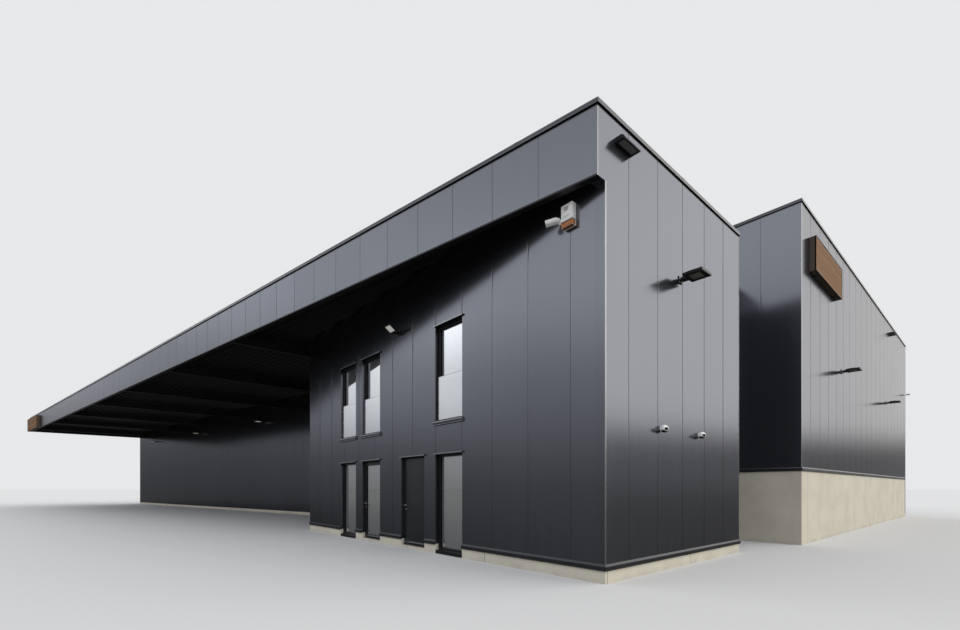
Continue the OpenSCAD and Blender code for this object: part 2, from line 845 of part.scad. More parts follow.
module window_glass() {
    color(glass) {
        for (o = upper_windows) {
            pane(o[0], o[1], sill_z, head_z);
            block([-o[0] - o[1] + guard_rail, reveal - guard_rail - guard_t / 2, sill_z + trim_t],
                  [-o[0] - guard_rail, reveal - guard_rail + guard_t / 2, sill_z + guard_h]);
        }
        for (o = glazed_bays) pane(o[0], o[1], floor_t, ground_head);
    }
}

// A drip trim over an opening, from the right edge x to the left, w wide
module head_trim(x, w, z) {
    block([-x - w - trim_past, -trim_out, z], [-x + trim_past, 0, z + trim_t]);
}

// A sill with a deep front lip, whose plate runs back to the window frame
module sill_trim(x, w) {
    block([-x - w - trim_past, -trim_out, sill_z - sill_lip], [-x + trim_past, 0, sill_z]);
    block([-x - w, -trim_out, sill_z], [-x, reveal, sill_z + trim_t]);
}

module window_trims() {
    color(dark_metal) {
        for (o = upper_windows) {
            head_trim(o[0], o[1], head_z);
            sill_trim(o[0], o[1]);
        }
        for (o = ground_openings) head_trim(o[0], o[1], ground_head);
    }
}

// Frame of a door in an opening w wide: jambs and a head round the leaf, and a stop behind it
frame_back = leaf_in + leaf_t + leaf_gap;

module door_frame(x, w) {
    jamb_top = ground_head - jamb_w - frame_joint;
    stop = jamb_w + leaf_gap + stop_lap;
    for (side = [0, 1])
        translate([-x - w / 2, 0, 0]) mirror([side, 0, 0]) {
            block([w / 2 - jamb_w, leaf_in, floor_t], [w / 2, frame_back, jamb_top]);
            block([w / 2 - stop, frame_back + frame_joint, floor_t],
                  [w / 2, wall_t, ground_head - stop - frame_joint]);
        }
    block([-x - w, leaf_in, ground_head - jamb_w], [-x, frame_back, ground_head]);
    block([-x - w, frame_back + frame_joint, ground_head - stop], [-x, wall_t, ground_head]);
}

// The leaf of a door whose opening's right edge is x hangs on hinges at that side
leaf_inset = jamb_w + leaf_gap;
leaf_bottom = floor_t + leaf_gap;
leaf_top = ground_head - jamb_w - leaf_gap;
hinge_heights = [for (share = [0.14, 0.5, 0.86]) leaf_bottom + share * (leaf_top - leaf_bottom)];

// Half of each hinge: the lower half is fixed to the jamb and the upper half to the leaf
module hinge_halves(x, upper) {
    side = upper ? -1 : 1;
    half = (hinge_l - hinge_gap) / 2;
    for (z = hinge_heights)
        translate([-x - jamb_w - leaf_gap / 2, leaf_in - hinge_r,
                   z + (upper ? hinge_gap / 2 : -hinge_l / 2)]) {
            cylinder(r = hinge_r, h = half);
            translate([side > 0 ? 0 : -hinge_plate, hinge_r / 2, 0]) cube([hinge_plate, hinge_r / 2, half]);
        }
}

module door_frames() {
    color(dark_metal) {
        door_frame(door_x, door_w);
        hinge_halves(door_x, false);
        door_frame(window_2, side_window_w);
        hinge_halves(window_2, false);
    }
}

// Lever handle on a leaf's outer face, with its spindle at x; the lever points to the hinges
module lever_handle(x) {
    translate([x, leaf_in, handle_z]) {
        rotate([90, 0, 0]) cylinder(r = rose_r, h = rose_r * 0.7);
        rotate([90, 0, 0]) cylinder(r = spindle_r, h = spindle_l);
        translate([-spindle_r, -spindle_l - lever_t / 2, -spindle_r]) cube([lever_l, lever_t, 2 * spindle_r]);
    }
}

module solid_door() {
    color(anthracite) {
        block([-door_x - door_w + leaf_inset, leaf_in, leaf_bottom],
              [-door_x - leaf_inset, leaf_in + leaf_t, leaf_top]);
        hinge_halves(door_x, true);
    }
}

module solid_door_handle() {
    color(steel) lever_handle(-door_x - door_w + leaf_inset + stile_w / 2);
}

glazed_left = -window_2 - side_window_w + leaf_inset;
glazed_right = -window_2 - leaf_inset;

module glazed_door() {
    color(dark_metal) {
        difference() {
            block([glazed_left, leaf_in, leaf_bottom], [glazed_right, leaf_in + leaf_t, leaf_top]);
            block([glazed_left + stile_w, leaf_in - 1, leaf_bottom + stile_w],
                  [glazed_right - stile_w, leaf_in + leaf_t + 1, leaf_top - stile_w]);
        }
        hinge_halves(window_2, true);
    }
}

module glazed_door_glass() {
    mid = leaf_in + leaf_t / 2;
    color(glass)
        block([glazed_left + stile_w, mid - glass_t / 2, leaf_bottom + stile_w],
              [glazed_right - stile_w, mid + glass_t / 2, leaf_top - stile_w]);
}

module glazed_door_handle() {
    color(steel) lever_handle(glazed_left + stile_w / 2);
}

// A floodlight on an arm; the wall is the plane y = 0 and the light stands out along -Y
module flood_light(w, d, tilt) {
    translate([-plate_size / 2, -plate_t, -plate_size / 2]) cube([plate_size, plate_t, plate_size]);
    translate([-arm_w / 2, -flood_arm - arm_w / 2, -arm_w / 2]) cube([arm_w, flood_arm + arm_w / 2, arm_w]);
    translate([0, -flood_arm, 0]) rotate([tilt, 0, 0]) difference() {
        translate([-w / 2, -d, -flood_t / 2]) cube([w, d, flood_t]);
        translate([-w / 2 + flood_rim, -d + flood_rim, -flood_t / 2 - eps])
            cube([w - 2 * flood_rim, d - 2 * flood_rim, flood_rim / 2]);
    }
}

// A low light fixed flat to a wall, with a sloping top; the wall is the plane y = 0
module wall_light() {
    translate([-wall_light_w / 2, 0, 0]) rotate([90, 0, 90]) linear_extrude(wall_light_w)
        polygon([[0, 0], [-wall_light_d, 0], [-wall_light_d, wall_light_lip],
                 [-wall_light_d * 0.7, wall_light_h], [0, wall_light_h]]);
}

// Turns a fitting that stands out along -Y onto the block's or the hall's right wall
module on_right_wall(x, y, z) {
    translate([x, y, z]) rotate([0, 0, 90]) children();
}

hall_flood_count = floor((hall_d - hall_flood_first - panel) / hall_flood_pitch) + 1;
canopy_light_count =
    floor((-block_w - canopy_light_first - panel - x_left) / canopy_light_pitch) + 1;

module wall_lights() {
    color(dark_metal) {
        translate([-spot_x, 0, flood_z]) flood_light(spot_w, spot_d, -spot_tilt);
        on_right_wall(0, flood_back, flood_z) flood_light(flood_w, flood_d, 0);
        on_right_wall(0, wall_light_back, block_wall_top - wall_light_drop - wall_light_h) wall_light();
        for (i = [0 : hall_flood_count - 1])
            on_right_wall(hall_step, block_d + hall_flood_first + i * hall_flood_pitch, hall_flood_z)
                flood_light(flood_w, flood_d, 0);
        on_right_wall(hall_step, block_d + hall_light_back, hall_wall_top - hall_light_drop - wall_light_h)
            wall_light();
        for (i = [0 : canopy_light_count - 1]) {
            x = -block_w - canopy_light_first - i * canopy_light_pitch;
            translate([x, recess_front_y(x), canopy_light_z]) rotate([0, 0, skew])
                flood_light(flood_w, flood_d, 0);
        }
    }
}

// A bullet camera on a wall base; the wall is y = 0 and the body points out and to the left
module camera(length) {
    rotate([90, 0, 0]) cylinder(r = camera_base_r, h = camera_base_t);
    rotate([90, 0, 0]) cylinder(r = camera_arm_r, h = camera_arm);
    translate([0, -camera_arm, 0]) rotate([0, 0, 35]) rotate([0, -100, 0])
        translate([0, 0, -camera_r]) cylinder(r = camera_r, h = length);
}

module cameras() {
    color(white) {
        translate([-siren_x - siren_w / 2 - siren_gap, 0, siren_z]) camera(long_camera);
        for (i = [0, 1])
            on_right_wall(0, side_camera_first + i * side_camera_pitch, side_camera_z) camera(short_camera);
        on_right_wall(hall_step, y_back - hall_camera_in, hall_camera_z) camera(long_camera);
    }
}

// Box of the alarm siren: a white cover over a lamp strip at its foot
module alarm_siren() {
    color(white) translate([-siren_x - siren_w / 2, -siren_d, siren_z - siren_h / 2]) difference() {
        cube([siren_w, siren_d, siren_h]);
        translate([-eps, -eps, siren_h * 0.18]) cube([siren_w + 2 * eps, siren_d * 0.15, siren_h * 0.03]);
    }
}

// A bare sign box with a shallow tray front; the wall is y = 0
module sign_box(l, h, d) {
    difference() {
        translate([-l / 2, -d, -h / 2]) cube([l, d, h]);
        translate([-l / 2 + sign_rim, -d - eps, -h / 2 + sign_rim])
            cube([l - 2 * sign_rim, sign_tray + eps, h - 2 * sign_rim]);
    }
}

module sign_boxes() {
    x = -(canopy_l - fascia_sign_in - fascia_sign_l / 2) * cos(skew);
    color(brown) {
        on_right_wall(hall_step, block_d + sign_back + sign_l / 2, hall_wall_top - sign_drop - sign_h / 2)
            sign_box(sign_l, sign_h, sign_d);
        translate([x, canopy_y(x, -seat), fascia_z - fascia_sign_low + fascia_sign_h / 2])
            rotate([0, 0, skew]) sign_box(fascia_sign_l, fascia_sign_h, fascia_sign_d);
    }
}

block_floor();
upper_floor();
hall_floor();
thresholds();
front_plinth();
side_plinths();
hall_base_wall();
recess_plinth();
rear_plinths();
plinth_flashings();
front_wall_right();
front_wall_left();
front_wall_piers();
front_wall_spandrel();
front_wall_upper_piers();
front_wall_top();
block_right_wall();
block_left_wall();
hall_front_wall();
hall_right_wall();
hall_back_wall();
hall_left_wall();
recess_wall();
block_roof();
canopy_roof();
hall_roof();
canopy_deck();
canopy_beams();
fascia();
fascia_ends();
canopy_copings();
hall_copings();
window_frames();
window_glass();
window_trims();
door_frames();
solid_door();
solid_door_handle();
glazed_door();
glazed_door_glass();
glazed_door_handle();
wall_lights();
cameras();
alarm_siren();
sign_boxes();
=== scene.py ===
"""Looks of the supermarket building.

Coated cladding, thin trims, fixings, lamps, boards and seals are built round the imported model, in its own
frame and in metres, and a plain pale studio stands round it all.
"""

from __future__ import annotations

import json
import logging
import math
from collections.abc import Sequence
from dataclasses import dataclass
from enum import Enum

import bmesh
import bpy
from mathutils import Matrix, Vector

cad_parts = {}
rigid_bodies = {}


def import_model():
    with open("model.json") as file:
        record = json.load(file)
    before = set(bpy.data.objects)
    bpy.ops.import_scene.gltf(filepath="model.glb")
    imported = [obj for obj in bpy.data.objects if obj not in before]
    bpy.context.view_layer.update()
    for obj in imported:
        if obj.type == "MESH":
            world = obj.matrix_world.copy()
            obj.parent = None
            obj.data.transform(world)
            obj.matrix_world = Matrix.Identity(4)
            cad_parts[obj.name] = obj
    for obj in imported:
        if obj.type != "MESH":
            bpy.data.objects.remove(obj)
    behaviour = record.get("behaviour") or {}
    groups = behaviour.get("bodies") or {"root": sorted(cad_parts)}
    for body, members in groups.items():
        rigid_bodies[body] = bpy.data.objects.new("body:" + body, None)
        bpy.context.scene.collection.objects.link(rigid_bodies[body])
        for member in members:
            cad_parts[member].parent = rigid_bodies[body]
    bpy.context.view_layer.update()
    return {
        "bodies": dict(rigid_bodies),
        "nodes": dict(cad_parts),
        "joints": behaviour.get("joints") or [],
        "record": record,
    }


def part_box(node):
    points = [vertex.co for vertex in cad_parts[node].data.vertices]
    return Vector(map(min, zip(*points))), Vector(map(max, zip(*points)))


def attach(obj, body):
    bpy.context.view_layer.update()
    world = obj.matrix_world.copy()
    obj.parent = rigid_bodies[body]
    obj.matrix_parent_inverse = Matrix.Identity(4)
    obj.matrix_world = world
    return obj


log = logging.getLogger("supermarket")

Colour = tuple[float, float, float]
Plan2 = tuple[float, float]
Point = tuple[float, float, float]
Span = tuple[float, float]
Section = Sequence[Plan2]
Ramp = tuple[float, float, float, float]
Verts = list[bmesh.types.BMVert]

ROOT = "building"
SOLID_DOOR = "solid_door"
GLAZED_DOOR = "glazed_door"
UP = Vector((0, 0, 1))
HERE = Matrix.Identity(4)
# Turns the axis of a lathed piece out of the wall's face.
OUT_OF_WALL = Matrix.Rotation(math.pi / 2, 4, "X")
# Edges that bend more than this stay crisp.
CRISP = math.radians(32)


class Slot(Enum):
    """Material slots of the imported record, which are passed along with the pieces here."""

    PANELS = "wall_panels"
    TRIM = "dark_trim"
    DOOR = "door_paint"
    BEAM = "beam_paint"
    ROOF = "roof_membrane"
    STEEL = "handle_steel"
    LAMP = "light_housing"
    CAMERA = "camera_plastic"
    SIGN = "sign_timber"


class Facing(Enum):
    """Angles in plan of the walls' faces: at 0 a face looks to the front, along -Y."""

    FRONT = 0.0
    SKEWED = math.radians(10.3)
    RIGHT = math.pi / 2
    BACK = math.pi
    LEFT = -math.pi / 2


@dataclass(frozen=True)
class Walls:
    """Plan lines and levels that the trims follow, in metres.

    The canopy starts in front of the near corner and ends in a return of its own length. Each wall's first
    joint is measured from the wall's near corner. A coping is a cap over a shadow gap.
    """

    skew: float = Facing.SKEWED.value
    canopy_start: float = 0.106
    canopy_l: float = 26.550
    canopy_end: float = 3.895
    fascia_t: float = 0.060
    wall_t: float = 0.100
    panel: float = 0.500
    front_first: float = 0.347
    side_first: float = 0.350
    fascia_first: float = 0.545
    hall_first: float = 0.450
    side_end: float = 2.830
    cap_out: float = 0.010
    coping_h: float = 0.060
    cap_h: float = 0.038
    flashing_h: float = 0.045
    flashing_out: float = 0.014

    @property
    def along(self) -> Vector:
        """Direction along the fascia and the recessed wall, towards the right."""
        return Vector((math.cos(self.skew), math.sin(self.skew), 0))

    @property
    def outward(self) -> Vector:
        """Outward normal of the fascia and the recessed wall."""
        return Vector((math.sin(self.skew), -math.cos(self.skew), 0))

    @property
    def left(self) -> float:
        """X of the hall's left wall and the canopy's left end."""
        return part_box("fascia")[0].x

    @property
    def step(self) -> float:
        """X of the hall's right wall."""
        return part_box("hall_right_wall")[1].x

    @property
    def hall_front(self) -> float:
        """Y of the hall's front wall beside the block."""
        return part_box("block_right_wall")[1].y

    @property
    def back(self) -> float:
        """Y of the hall's back wall."""
        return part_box("hall_back_wall")[1].y

    @property
    def block_left(self) -> float:
        """X of the block's left wall."""
        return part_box("block_left_wall")[0].x

    @property
    def plinth_top(self) -> float:
        """Height at which the block's cladding starts."""
        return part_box("block_right_wall")[0].z

    @property
    def base_top(self) -> float:
        """Height at which the cladding of the hall's right wall starts."""
        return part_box("hall_right_wall")[0].z

    @property
    def low_plinth(self) -> float:
        """Height at which the hall's other cladding starts."""
        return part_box("recess_wall")[0].z

    @property
    def fascia_low(self) -> float:
        """Height of the fascia's lower edge."""
        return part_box("fascia")[0].z

    @property
    def deck_low(self) -> float:
        """Height of the lower face of the canopy's deck."""
        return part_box("canopy_deck")[0].z

    @property
    def block_clad(self) -> float:
        """Top of the block's and the fascia's cladding."""
        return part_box("fascia")[1].z

    @property
    def hall_clad(self) -> float:
        """Top of the hall's cladding."""
        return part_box("hall_right_wall")[1].z

    def fascia_y(self, x: float, inset: float = 0.0) -> float:
        """Y of the fascia's outer face at X, or of a line that is set back behind it."""
        return -self.canopy_start + x * math.tan(self.skew) + inset / math.cos(self.skew)

    def recess_y(self, x: float, inset: float = 0.0) -> float:
        """Y of the recessed wall's outer face at X, or of a line that is set back behind it."""
        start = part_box("recess_wall")[0].y
        return start + (x - self.left) * math.tan(self.skew) + inset / math.cos(self.skew)


WALLS = Walls()


def shade(colour: Colour, factor: float) -> Colour:
    """A colour made darker or lighter."""
    return tuple(factor * channel for channel in colour)


class Wire:
    """One value in a material's node tree. Arithmetic on it adds Math nodes."""

    def __init__(self, sheet: NodeSheet, socket: bpy.types.NodeSocket) -> None:
        """Keeps the sheet that the value is on, and its socket."""
        self.sheet = sheet
        self.socket = socket

    def maths(self, operation: str, *others: Wire | float) -> Wire:
        """Adds a Math node with this value as its first operand."""
        operands = dict(enumerate((self, *others)))
        return self.sheet.node("ShaderNodeMath", {"operation": operation}, operands)

    def __add__(self, other: Wire | float) -> Wire:
        """Sum."""
        return self.maths("ADD", other)

    __radd__ = __add__

    def __mul__(self, other: Wire | float) -> Wire:
        """Product."""
        return self.maths("MULTIPLY", other)

    def __sub__(self, other: Wire | float) -> Wire:
        """Difference."""
        return self.maths("SUBTRACT", other)

    def __rsub__(self, other: float) -> Wire:
        """Difference from a number."""
        return self * -1.0 + other

    def __truediv__(self, other: Wire | float) -> Wire:
        """Quotient."""
        return self.maths("DIVIDE", other)

    def floor(self) -> Wire:
        """Whole part."""
        return self.maths("FLOOR")

    def fraction(self) -> Wire:
        """Part after the point, from 0 to 1."""
        return self.maths("FRACT")

    def round(self) -> Wire:
        """Nearest whole number."""
        return self.maths("ROUND")

    def least(self, other: Wire | float) -> Wire:
        """The smaller of two values."""
        return self.maths("MINIMUM", other)

    def most(self, other: Wire | float) -> Wire:
        """The larger of two values."""
        return self.maths("MAXIMUM", other)

    def size(self) -> Wire:
        """Absolute value."""
        return self.maths("ABSOLUTE")

    def step(self, low: float, high: float, to_low: float = 0.0, to_high: float = 1.0) -> Wire:
        """Smooth step of the result from one value to another, while this value goes from low to high."""
        inputs = {0: self, 1: low, 2: high, 3: to_low, 4: to_high}
        return self.sheet.node("ShaderNodeMapRange", {"interpolation_type": "SMOOTHSTEP"}, inputs)


class NodeSheet:
    """The node tree of one material or of the world."""

    def __init__(self, tree: bpy.types.NodeTree) -> None:
        """Empties the tree and keeps it."""
        self.tree = tree
        tree.nodes.clear()

    def node(
        self, kind: str, settings: dict | None = None, inputs: dict | None = None, out: int | str = 0
    ) -> Wire:
        """Adds one node.

        Args:
            kind: the node's type.
            settings: its own settings, which are set first.
            inputs: values or wires for its input sockets, by index or name.
            out: the output socket that is returned.

        Returns:
            The value of that output.
        """
        made = self.tree.nodes.new(kind)
        for name, value in (settings or {}).items():
            setattr(made, name, value)
        for key, value in (inputs or {}).items():
            if isinstance(value, Wire):
                self.tree.links.new(value.socket, made.inputs[key])
            else:
                made.inputs[key].default_value = value
        return Wire(self, made.outputs[out])

    def place(self) -> Wire:
        """Object coordinates."""
        return self.node("ShaderNodeTexCoord", out="Object")

    def dot(self, vector: Wire, direction: Point) -> Wire:
        """Length of a vector along a direction."""
        product = {"operation": "DOT_PRODUCT"}
        return self.node("ShaderNodeVectorMath", product, {0: vector, 1: direction}, "Value")

    def axis(self, direction: Point, start: float = 0.0) -> Wire:
        """Distance along a unit vector, past a starting distance."""
        return self.dot(self.place(), direction) - start

    def stretched(self, scale: Point) -> Wire:
        """Object coordinates with each axis scaled."""
        return self.node("ShaderNodeMapping", {}, {"Vector": self.place(), "Scale": scale})

    def noise(self, vector: Wire, scale: float, detail: float = 2.0, roughness: float = 0.5) -> Wire:
        """Soft noise from 0 to 1, whose scale is how fine it is per metre."""
        inputs = {"Vector": vector, "Scale": scale, "Detail": detail, "Roughness": roughness}
        return self.node("ShaderNodeTexNoise", {}, inputs)

    def chance(self, value: Wire) -> Wire:
        """A random number from 0 to 1 that is the same wherever value is the same."""
        return self.node("ShaderNodeTexWhiteNoise", {"noise_dimensions": "1D"}, {"W": value})

    def blend(self, factor: Wire | float, low: Wire | Colour, high: Wire | Colour) -> Wire:
        """Mixes two colours.

        Args:
            factor: 0 gives the first and 1 the second.
            low: the first colour.
            high: the second colour.

        Returns:
            The mixed colour.
        """
        first = low if isinstance(low, Wire) else (*low, 1.0)
        second = high if isinstance(high, Wire) else (*high, 1.0)
        return self.node("ShaderNodeMix", {"data_type": "RGBA"}, {0: factor, 6: first, 7: second}, 2)

    def relief(self, height: Wire, depth: float) -> Wire:
        """A surface normal from a height, where 1 is the full depth in metres."""
        return self.node("ShaderNodeBump", {}, {"Strength": 1.0, "Distance": depth, "Height": height})

    def surface(self, **sockets: Wire | float | Colour) -> Wire:
        """A Principled surface.

        Args:
            sockets: its sockets by name, with underscores for spaces.

        Returns:
            The shader.
        """
        inputs = {}
        for name, value in sockets.items():
            title = name.replace("_", " ")
            inputs[title] = (*value, 1.0) if isinstance(value, tuple) else value
        return self.node("ShaderNodeBsdfPrincipled", {}, inputs)

    def output(self, shader: Wire, kind: str = "ShaderNodeOutputMaterial") -> None:
        """Links a shader to the tree's output."""
        end = self.tree.nodes.new(kind)
        self.tree.links.new(shader.socket, end.inputs["Surface"])


@dataclass(frozen=True)
class Finish:
    """A surface finish. Each kind says how it is made in its paint method."""

    name: str

    def paint(self, sheet: NodeSheet) -> Wire:
        """Adds the finish's nodes to a material's tree and returns its shader."""
        raise NotImplementedError

    def material(self) -> bpy.types.Material:
        """Makes the finish's material, once.

        Returns:
            The material.
        """
        known = bpy.data.materials.get(self.name)
        if known:
            return known
        made = bpy.data.materials.new(self.name)
        made.use_nodes = True
        sheet = NodeSheet(made.node_tree)
        sheet.output(self.paint(sheet))
        return made


@dataclass(frozen=True)
class CladPanels(Finish):
    """Satin coated sheet in upright panels that each lie a little out of true.

    The row of panels runs from its start in plan, with its first joint at a distance. Joints are drawn up to
    a share of a panel before that one.
    """

    run: Plan2 = (1.0, 0.0)
    start: Plan2 = (0.0, 0.0)
    first: float = 0.5
    seed: float = 0.0
    colour: Colour = (0.180, 0.187, 0.208)
    dust: Colour = (0.20, 0.19, 0.175)
    edge: Colour = (0.62, 0.62, 0.63)
    # Dark colour in the joints: partly the seals' own colour, partly painted shade on the joints' walls.
    groove_seal_and_shade: Colour = (0.085, 0.087, 0.095)
    groove_seal_and_shade_w: float = 0.0047
    unjointed: Span = (-0.62, -0.60)
    roll_w: float = 0.013
    dust_h: Span = (0.08, 0.75)

    def paint(self, sheet: NodeSheet) -> Wire:
        """Adds the finish's nodes.

        Args:
            sheet: the material's nodes.

        Returns:
            The shader.
        """
        zero = self.start[0] * self.run[0] + self.start[1] * self.run[1] + self.first
        share = sheet.axis((*self.run, 0.0), zero) / WALLS.panel
        number = (share.floor() + self.seed).round()
        across = share.fraction()
        height = sheet.axis((0, 0, 1))
        near_joint = across.least(1.0 - across) * WALLS.panel + share.step(*self.unjointed, 1.0, 0.0)
        tilt = (sheet.chance(number) - 0.5) * across
        crown = (sheet.chance(number + 40.3) - 0.35) * (across - 0.5) * (across - 0.5)
        rolled = near_joint.step(0.0, self.roll_w)
        sway = sheet.noise(sheet.stretched((2.2, 2.2, 0.35)), 1.0, 1.0)
        grain = sheet.noise(sheet.stretched((110.0, 110.0, 16.0)), 1.0, 2.0)
        streak = sheet.noise(sheet.stretched((14.0, 14.0, 0.6)), 1.0, 3.0)
        relief = tilt * 1.1 + crown * 1.6 + rolled * 0.9 + sway * 0.9 + grain * 0.010
        settled = height.step(*self.dust_h, 1.0, 0.0) * streak.step(0.35, 0.75)
        tone = sheet.chance(number + 11.7) * 0.09 + streak * 0.07
        painted = sheet.blend(tone, shade(self.colour, 0.94), shade(self.colour, 1.45))
        coated = sheet.blend(settled * 0.03, painted, self.dust)
        # Within a joint's width the colour turns dark: partly the seals' own colour, partly painted shade on
        # the joints' walls.
        lined = sheet.blend(near_joint.step(self.groove_seal_and_shade_w, self.groove_seal_and_shade_w + 0.0008), self.groove_seal_and_shade, coated)
        return sheet.surface(
            Base_Color=lined,
            Metallic=0.88 - settled * 0.03,
            Roughness=0.165 + streak * 0.04 + settled * 0.015,
            Specular_Tint=self.edge,
            Normal=sheet.relief(relief, 0.001),
        )


@dataclass(frozen=True)
class CoatedMetal(Finish):
    """Coated or painted metal of the trims, frames, doors, beams and lamps."""

    colour: Colour = (0.05, 0.05, 0.055)
    metallic: float = 0.7
    roughness: float = 0.34
    wear: float = 0.08
    fine: float = 60.0

    def paint(self, sheet: NodeSheet) -> Wire:
        """Adds the finish's nodes.

        Args:
            sheet: the material's nodes.

        Returns:
            The shader.
        """
        cloud = sheet.noise(sheet.place(), 3.0, 4.0)
        peel = sheet.noise(sheet.place(), self.fine, 2.0)
        lighter = tuple(min(1.0, c * 1.9 + 0.01) for c in self.colour)
        coated = sheet.blend(cloud.step(0.45, 0.85) * self.wear * 3.0, self.colour, lighter)
        return sheet.surface(
            Base_Color=coated,
            Metallic=self.metallic,
            Roughness=self.roughness - self.wear / 2 + cloud * self.wear,
            Normal=sheet.relief(peel + cloud * 2.0, 0.00025),
        )


@dataclass(frozen=True)
class Precast(Finish):
    """Smooth precast concrete with pores, clouding, damp at its foot and fine joints along a direction."""

    run: Plan2 = (1.0, 0.0)
    bay: float = 1.5
    first: float = 0.03
    seam_w: Span = (0.0012, 0.0030)
    damp_h: float = 0.075
    colour: Colour = (0.88, 0.82, 0.67)
    dark: Colour = (0.58, 0.54, 0.45)

    def paint(self, sheet: NodeSheet) -> Wire:
        """Adds the finish's nodes.

        Args:
            sheet: the material's nodes.

        Returns:
            The shader.
        """
        cloud = sheet.noise(sheet.place(), 2.4, 5.0, 0.6)
        speck = sheet.noise(sheet.place(), 85.0, 3.0, 0.6)
        cells = sheet.node("ShaderNodeTexVoronoi", {}, {"Vector": sheet.place(), "Scale": 38.0})
        pores = cells.step(0.06, 0.16)
        along = (sheet.axis((*self.run, 0.0), self.first) / self.bay).fraction()
        seam = along.least(1.0 - along).step(*self.seam_w)
        damp = sheet.axis((0, 0, 1)).step(0.0, self.damp_h, 1.0, 0.0) * cloud.step(0.3, 0.7)
        mottle = cloud.step(0.3, 0.75) * 0.35 + speck.step(0.5, 0.8) * 0.15
        wet = sheet.blend(damp * 0.55, sheet.blend(mottle, self.colour, self.dark), self.dark)
        joined = sheet.blend(1.0 - seam * (0.75 + pores * 0.25), wet, shade(self.dark, 0.45))
        return sheet.surface(
            Base_Color=joined,
            Roughness=0.78 + speck * 0.15,
            Normal=sheet.relief(seam * 2.0 + pores * 0.8 + cloud * 1.5 + speck * 0.4, 0.0012),
        )


@dataclass(frozen=True)
class FloatedFloor(Finish):
    """Power-floated concrete of the floors, with saw cuts."""

    colour: Colour = (0.40, 0.39, 0.37)
    bay: float = 3.0
    first: float = 0.1
    cut_w: Span = (0.0006, 0.0015)

    def paint(self, sheet: NodeSheet) -> Wire:
        """Adds the finish's nodes.

        Args:
            sheet: the material's nodes.

        Returns:
            The shader.
        """
        swirl = sheet.noise(sheet.place(), 1.4, 6.0, 0.65)
        cut_x = (sheet.axis((1, 0, 0), self.first) / self.bay).fraction()
        cut_y = (sheet.axis((0, 1, 0), self.first) / self.bay).fraction()
        cut = cut_x.least(1.0 - cut_x).least(cut_y.least(1.0 - cut_y)).step(*self.cut_w)
        worn = sheet.blend(swirl.step(0.3, 0.8), self.colour, shade(self.colour, 0.72))
        sawn = sheet.blend(cut, shade(self.colour, 0.3), worn)
        return sheet.surface(
            Base_Color=sawn,
            Roughness=0.42 + swirl * 0.25,
            Normal=sheet.relief(cut * 2.0 + swirl * 0.5, 0.001),
        )


@dataclass(frozen=True)
class RoofSheet(Finish):
    """Grey roof membrane in sheets with welded laps and clouds of dust."""

    colour: Colour = (0.30, 0.31, 0.32)
    dust: Colour = (0.43, 0.42, 0.39)
    lap: Colour = (0.10, 0.10, 0.105)
    sheet_w: float = 0.75
    sheet_l: float = 7.5
    stagger: float = 6.0

    def paint(self, sheet: NodeSheet) -> Wire:
        """Adds the finish's nodes.

        Args:
            sheet: the material's nodes.

        Returns:
            The shader.
        """
        across = sheet.axis((0, 1, 0))
        lap = (across / self.sheet_w).fraction()
        row = (across / self.sheet_w).floor()
        ends = ((sheet.axis((1, 0, 0)) + sheet.chance(row) * self.stagger) / self.sheet_l).fraction()
        edge = lap.least(ends * 10.0).step(0.004, 0.022)
        weld = (lap.step(0.0, 0.012) - lap.step(0.06, 0.075)).size()
        cloud = sheet.noise(sheet.place(), 2.2, 6.0, 0.7)
        ripple = sheet.noise(sheet.stretched((3.0, 9.0, 3.0)), 1.0, 2.0)
        settled = cloud.step(0.30, 0.80) * 0.30 + sheet.chance(row) * 0.25
        seamed = sheet.blend(edge, self.lap, sheet.blend(settled, self.colour, self.dust))
        return sheet.surface(
            Base_Color=seamed,
            Roughness=0.62 + cloud * 0.25,
            Normal=sheet.relief(weld * 1.2 + ripple * 2.0 + edge, 0.0015),
        )


@dataclass(frozen=True)
class Pane(Finish):
    """Clear or sun-reflecting glass."""

    colour: Colour = (0.90, 0.92, 0.92)
    mirror: float = 0.85
    clear: float = 0.20

    def paint(self, sheet: NodeSheet) -> Wire:
        """Adds the finish's nodes.

        Args:
            sheet: the material's nodes.

        Returns:
            The shader.
        """
        sway = sheet.noise(sheet.place(), 1.6, 1.0)
        smear = sheet.noise(sheet.stretched((6.0, 6.0, 2.0)), 1.0, 3.0)
        return sheet.surface(
            Base_Color=self.colour,
            Metallic=self.mirror,
            Roughness=0.015 + smear.step(0.55, 0.9) * 0.04,
            Alpha=1.0 - self.clear,
            Normal=sheet.relief(sway, 0.0012),
        )


@dataclass(frozen=True)
class Brushed(Finish):
    """Brushed stainless steel."""

    colour: Colour = (0.62, 0.62, 0.61)

    def paint(self, sheet: NodeSheet) -> Wire:
        """Adds the finish's nodes.

        Args:
            sheet: the material's nodes.

        Returns:
            The shader.
        """
        lines = sheet.noise(sheet.stretched((60.0, 900.0, 900.0)), 1.0, 2.0)
        return sheet.surface(
            Base_Color=sheet.blend(lines, self.colour, shade(self.colour, 0.8)),
            Metallic=1.0,
            Roughness=0.24 + lines * 0.14,
            Normal=sheet.relief(lines, 0.00006),
        )


